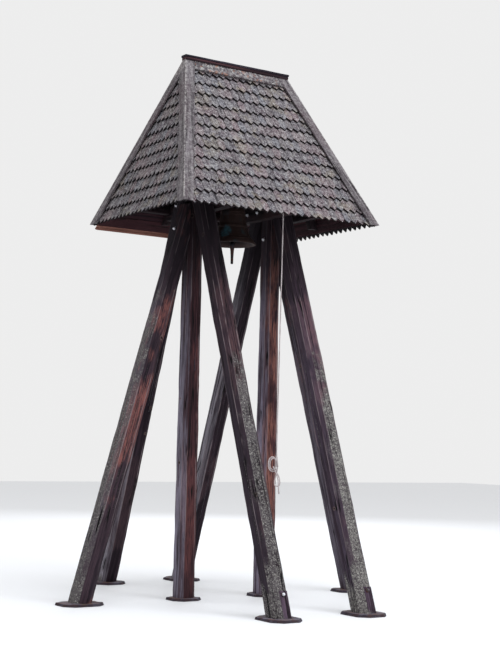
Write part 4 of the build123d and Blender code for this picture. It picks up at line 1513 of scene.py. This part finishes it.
def turned(name, rings, sides, height):
    """Closed skin run up through rings of these radii and heights, starting at a circle."""
    piece = start_shape("circle", vertices=sides, radius=rings[0][0],
                        location=(0, 0, height + rings[0][1]))
    piece.name = name
    edit_all()
    bpy.ops.mesh.select_mode(type="VERT")
    bpy.ops.mesh.select_all(action="SELECT")
    for (radius, level), (next_radius, next_level) in zip(rings, rings[1:]):
        bpy.ops.mesh.extrude_region_move(
            TRANSFORM_OT_translate={"value": (0, 0, next_level - level)})
        share = next_radius / radius
        bpy.ops.transform.resize(value=(share, share, 1),
                                 center_override=(0, 0, height + next_level))
    bpy.ops.mesh.merge(type="CENTER")
    stop_editing()
    return piece


outside = turned("bell_outside", bell_profile, bell_sides, mouth_height)
inside = turned("bell_inside", bell_inside, bell_sides, mouth_height)
bell = joined("cast_bell", [outside, inside])
edit_all()
pick(bell, "edges", lambda edge: edge.is_boundary)
bpy.ops.mesh.bridge_edge_loops()
bpy.ops.mesh.select_all(action="SELECT")
bpy.ops.mesh.normals_make_consistent(inside=False)
stop_editing()
canons = []
for y in (-canon_apart / 2, canon_apart / 2):
    canon = start_shape("torus", major_radius=canon_radius, minor_radius=canon_thickness,
                        major_segments=48, minor_segments=12, location=(0, y, crown_top),
                        rotation=(math.radians(90), 0, 0))
    trimmed(canon, (Vector((0, 0, crown_top - canon_sunk)), (0, 0, -1)))
    canons.append(canon)
bell = joined("cast_bell", [bell] + canons)
bronze = new_material("bronze")
tree = bronze.node_tree
place = tree.nodes.new("ShaderNodeTexCoord").outputs
bronze_bloom = clouds(place["Object"], 9, 5, 0.6, (1, 1, 0.5))
bronze_grain = clouds(place["Object"], 320, 3)
bronze_mottle = clouds(place["Object"], 45, 4, 0.7)
# Blue-green patina in one patch, painted brighter there as a highlight.
patina_highlight_away = added_node("VectorMath", place["Object"], patina_highlight_place)
patina_highlight_away.operation = "DISTANCE"
patina_and_highlight = times(spread(minus(times(bronze_bloom, 0.17), patina_highlight_away.outputs["Value"]), -0.01, 0.06),
               spread(bronze_mottle, 0.38, 0.6, 0.25, 0.95))
# Painted shade: the bell's inside is darkened, except close to its lip.
axis_away = added_node("VectorMath", place["Object"], (1, 1, 0))
axis_away.operation = "MULTIPLY"
turned_away = added_node("VectorMath", axis_away.outputs[0], place["Normal"])
turned_away.operation = "DOT_PRODUCT"
bronze_level = split(place["Object"])["Z"]
painted_inner_shade = times(spread(turned_away.outputs["Value"], 0.0, -0.04),
              spread(bronze_level, mouth_height + 0.015, mouth_height + 0.07, 0, 0.85))
finish_shader(bronze, tinted(
    mixed(spread(bronze_bloom, 0.54, 0.70, 0, 0.6), srgb(52, 39, 37), srgb(46, 60, 66)),
    (patina_and_highlight, srgb(58, 96, 108)),
    (spread(bronze_grain, 0.5, 0.75, 0, 0.4), srgb(78, 66, 58)),
    (painted_inner_shade, srgb(12, 9, 10))),
    roughness=spread(bronze_bloom, 0.3, 0.7, 0.5, 0.75), height=bronze_grain, bump=0.0006,
    metal=0.5)
bell.data.materials.append(bronze)
bpy.ops.object.shade_smooth_by_angle(angle=cast_crease_angle)
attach(bell, "bell")
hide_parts("bell")

# Clapper.
# Forged in one piece: an eye that hangs on the staple's pin, a round shaft, the ball that
# strikes the lip, and below it a tail that gets thinner towards its end.
clapper_pivot = 4.594
clapper_end = 3.977
clapper_sides = 32
clapper_eye_radius = 0.01615
clapper_eye_thickness = 0.00585
clapper_profile = [
    (0.0060, 0.000), (0.0120, 0.001), (0.0155, 0.005), (0.0165, 0.012), (0.0165, 0.050),
    (0.0180, 0.100), (0.0210, 0.150), (0.0245, 0.182), (0.0280, 0.198), (0.0310, 0.209),
    (0.0335, 0.220), (0.0340, 0.230), (0.0335, 0.240), (0.0310, 0.251), (0.0260, 0.261),
    (0.0180, 0.268), (0.0130, 0.274), (0.0105, 0.290), (0.0100, 0.450), (0.0100, 0.600),
    (0.0020, 0.602)]
rod = turned("forged_clapper", clapper_profile, clapper_sides, clapper_end)
edit_all()
pick(rod, "edges", lambda edge: edge.is_boundary)
bpy.ops.mesh.edge_face_add()
bpy.ops.mesh.select_all(action="SELECT")
bpy.ops.mesh.normals_make_consistent(inside=False)
stop_editing()
eye = start_shape("torus", major_radius=clapper_eye_radius, minor_radius=clapper_eye_thickness,
                  major_segments=32, minor_segments=12, location=(0, 0, clapper_pivot),
                  rotation=(0, math.radians(90), 0))
clapper = joined("forged_clapper", [rod, eye])
clapper.data.materials.append(black_iron)
bpy.ops.object.shade_smooth_by_angle(angle=cast_crease_angle)
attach(clapper, "clapper")
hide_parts("clapper")
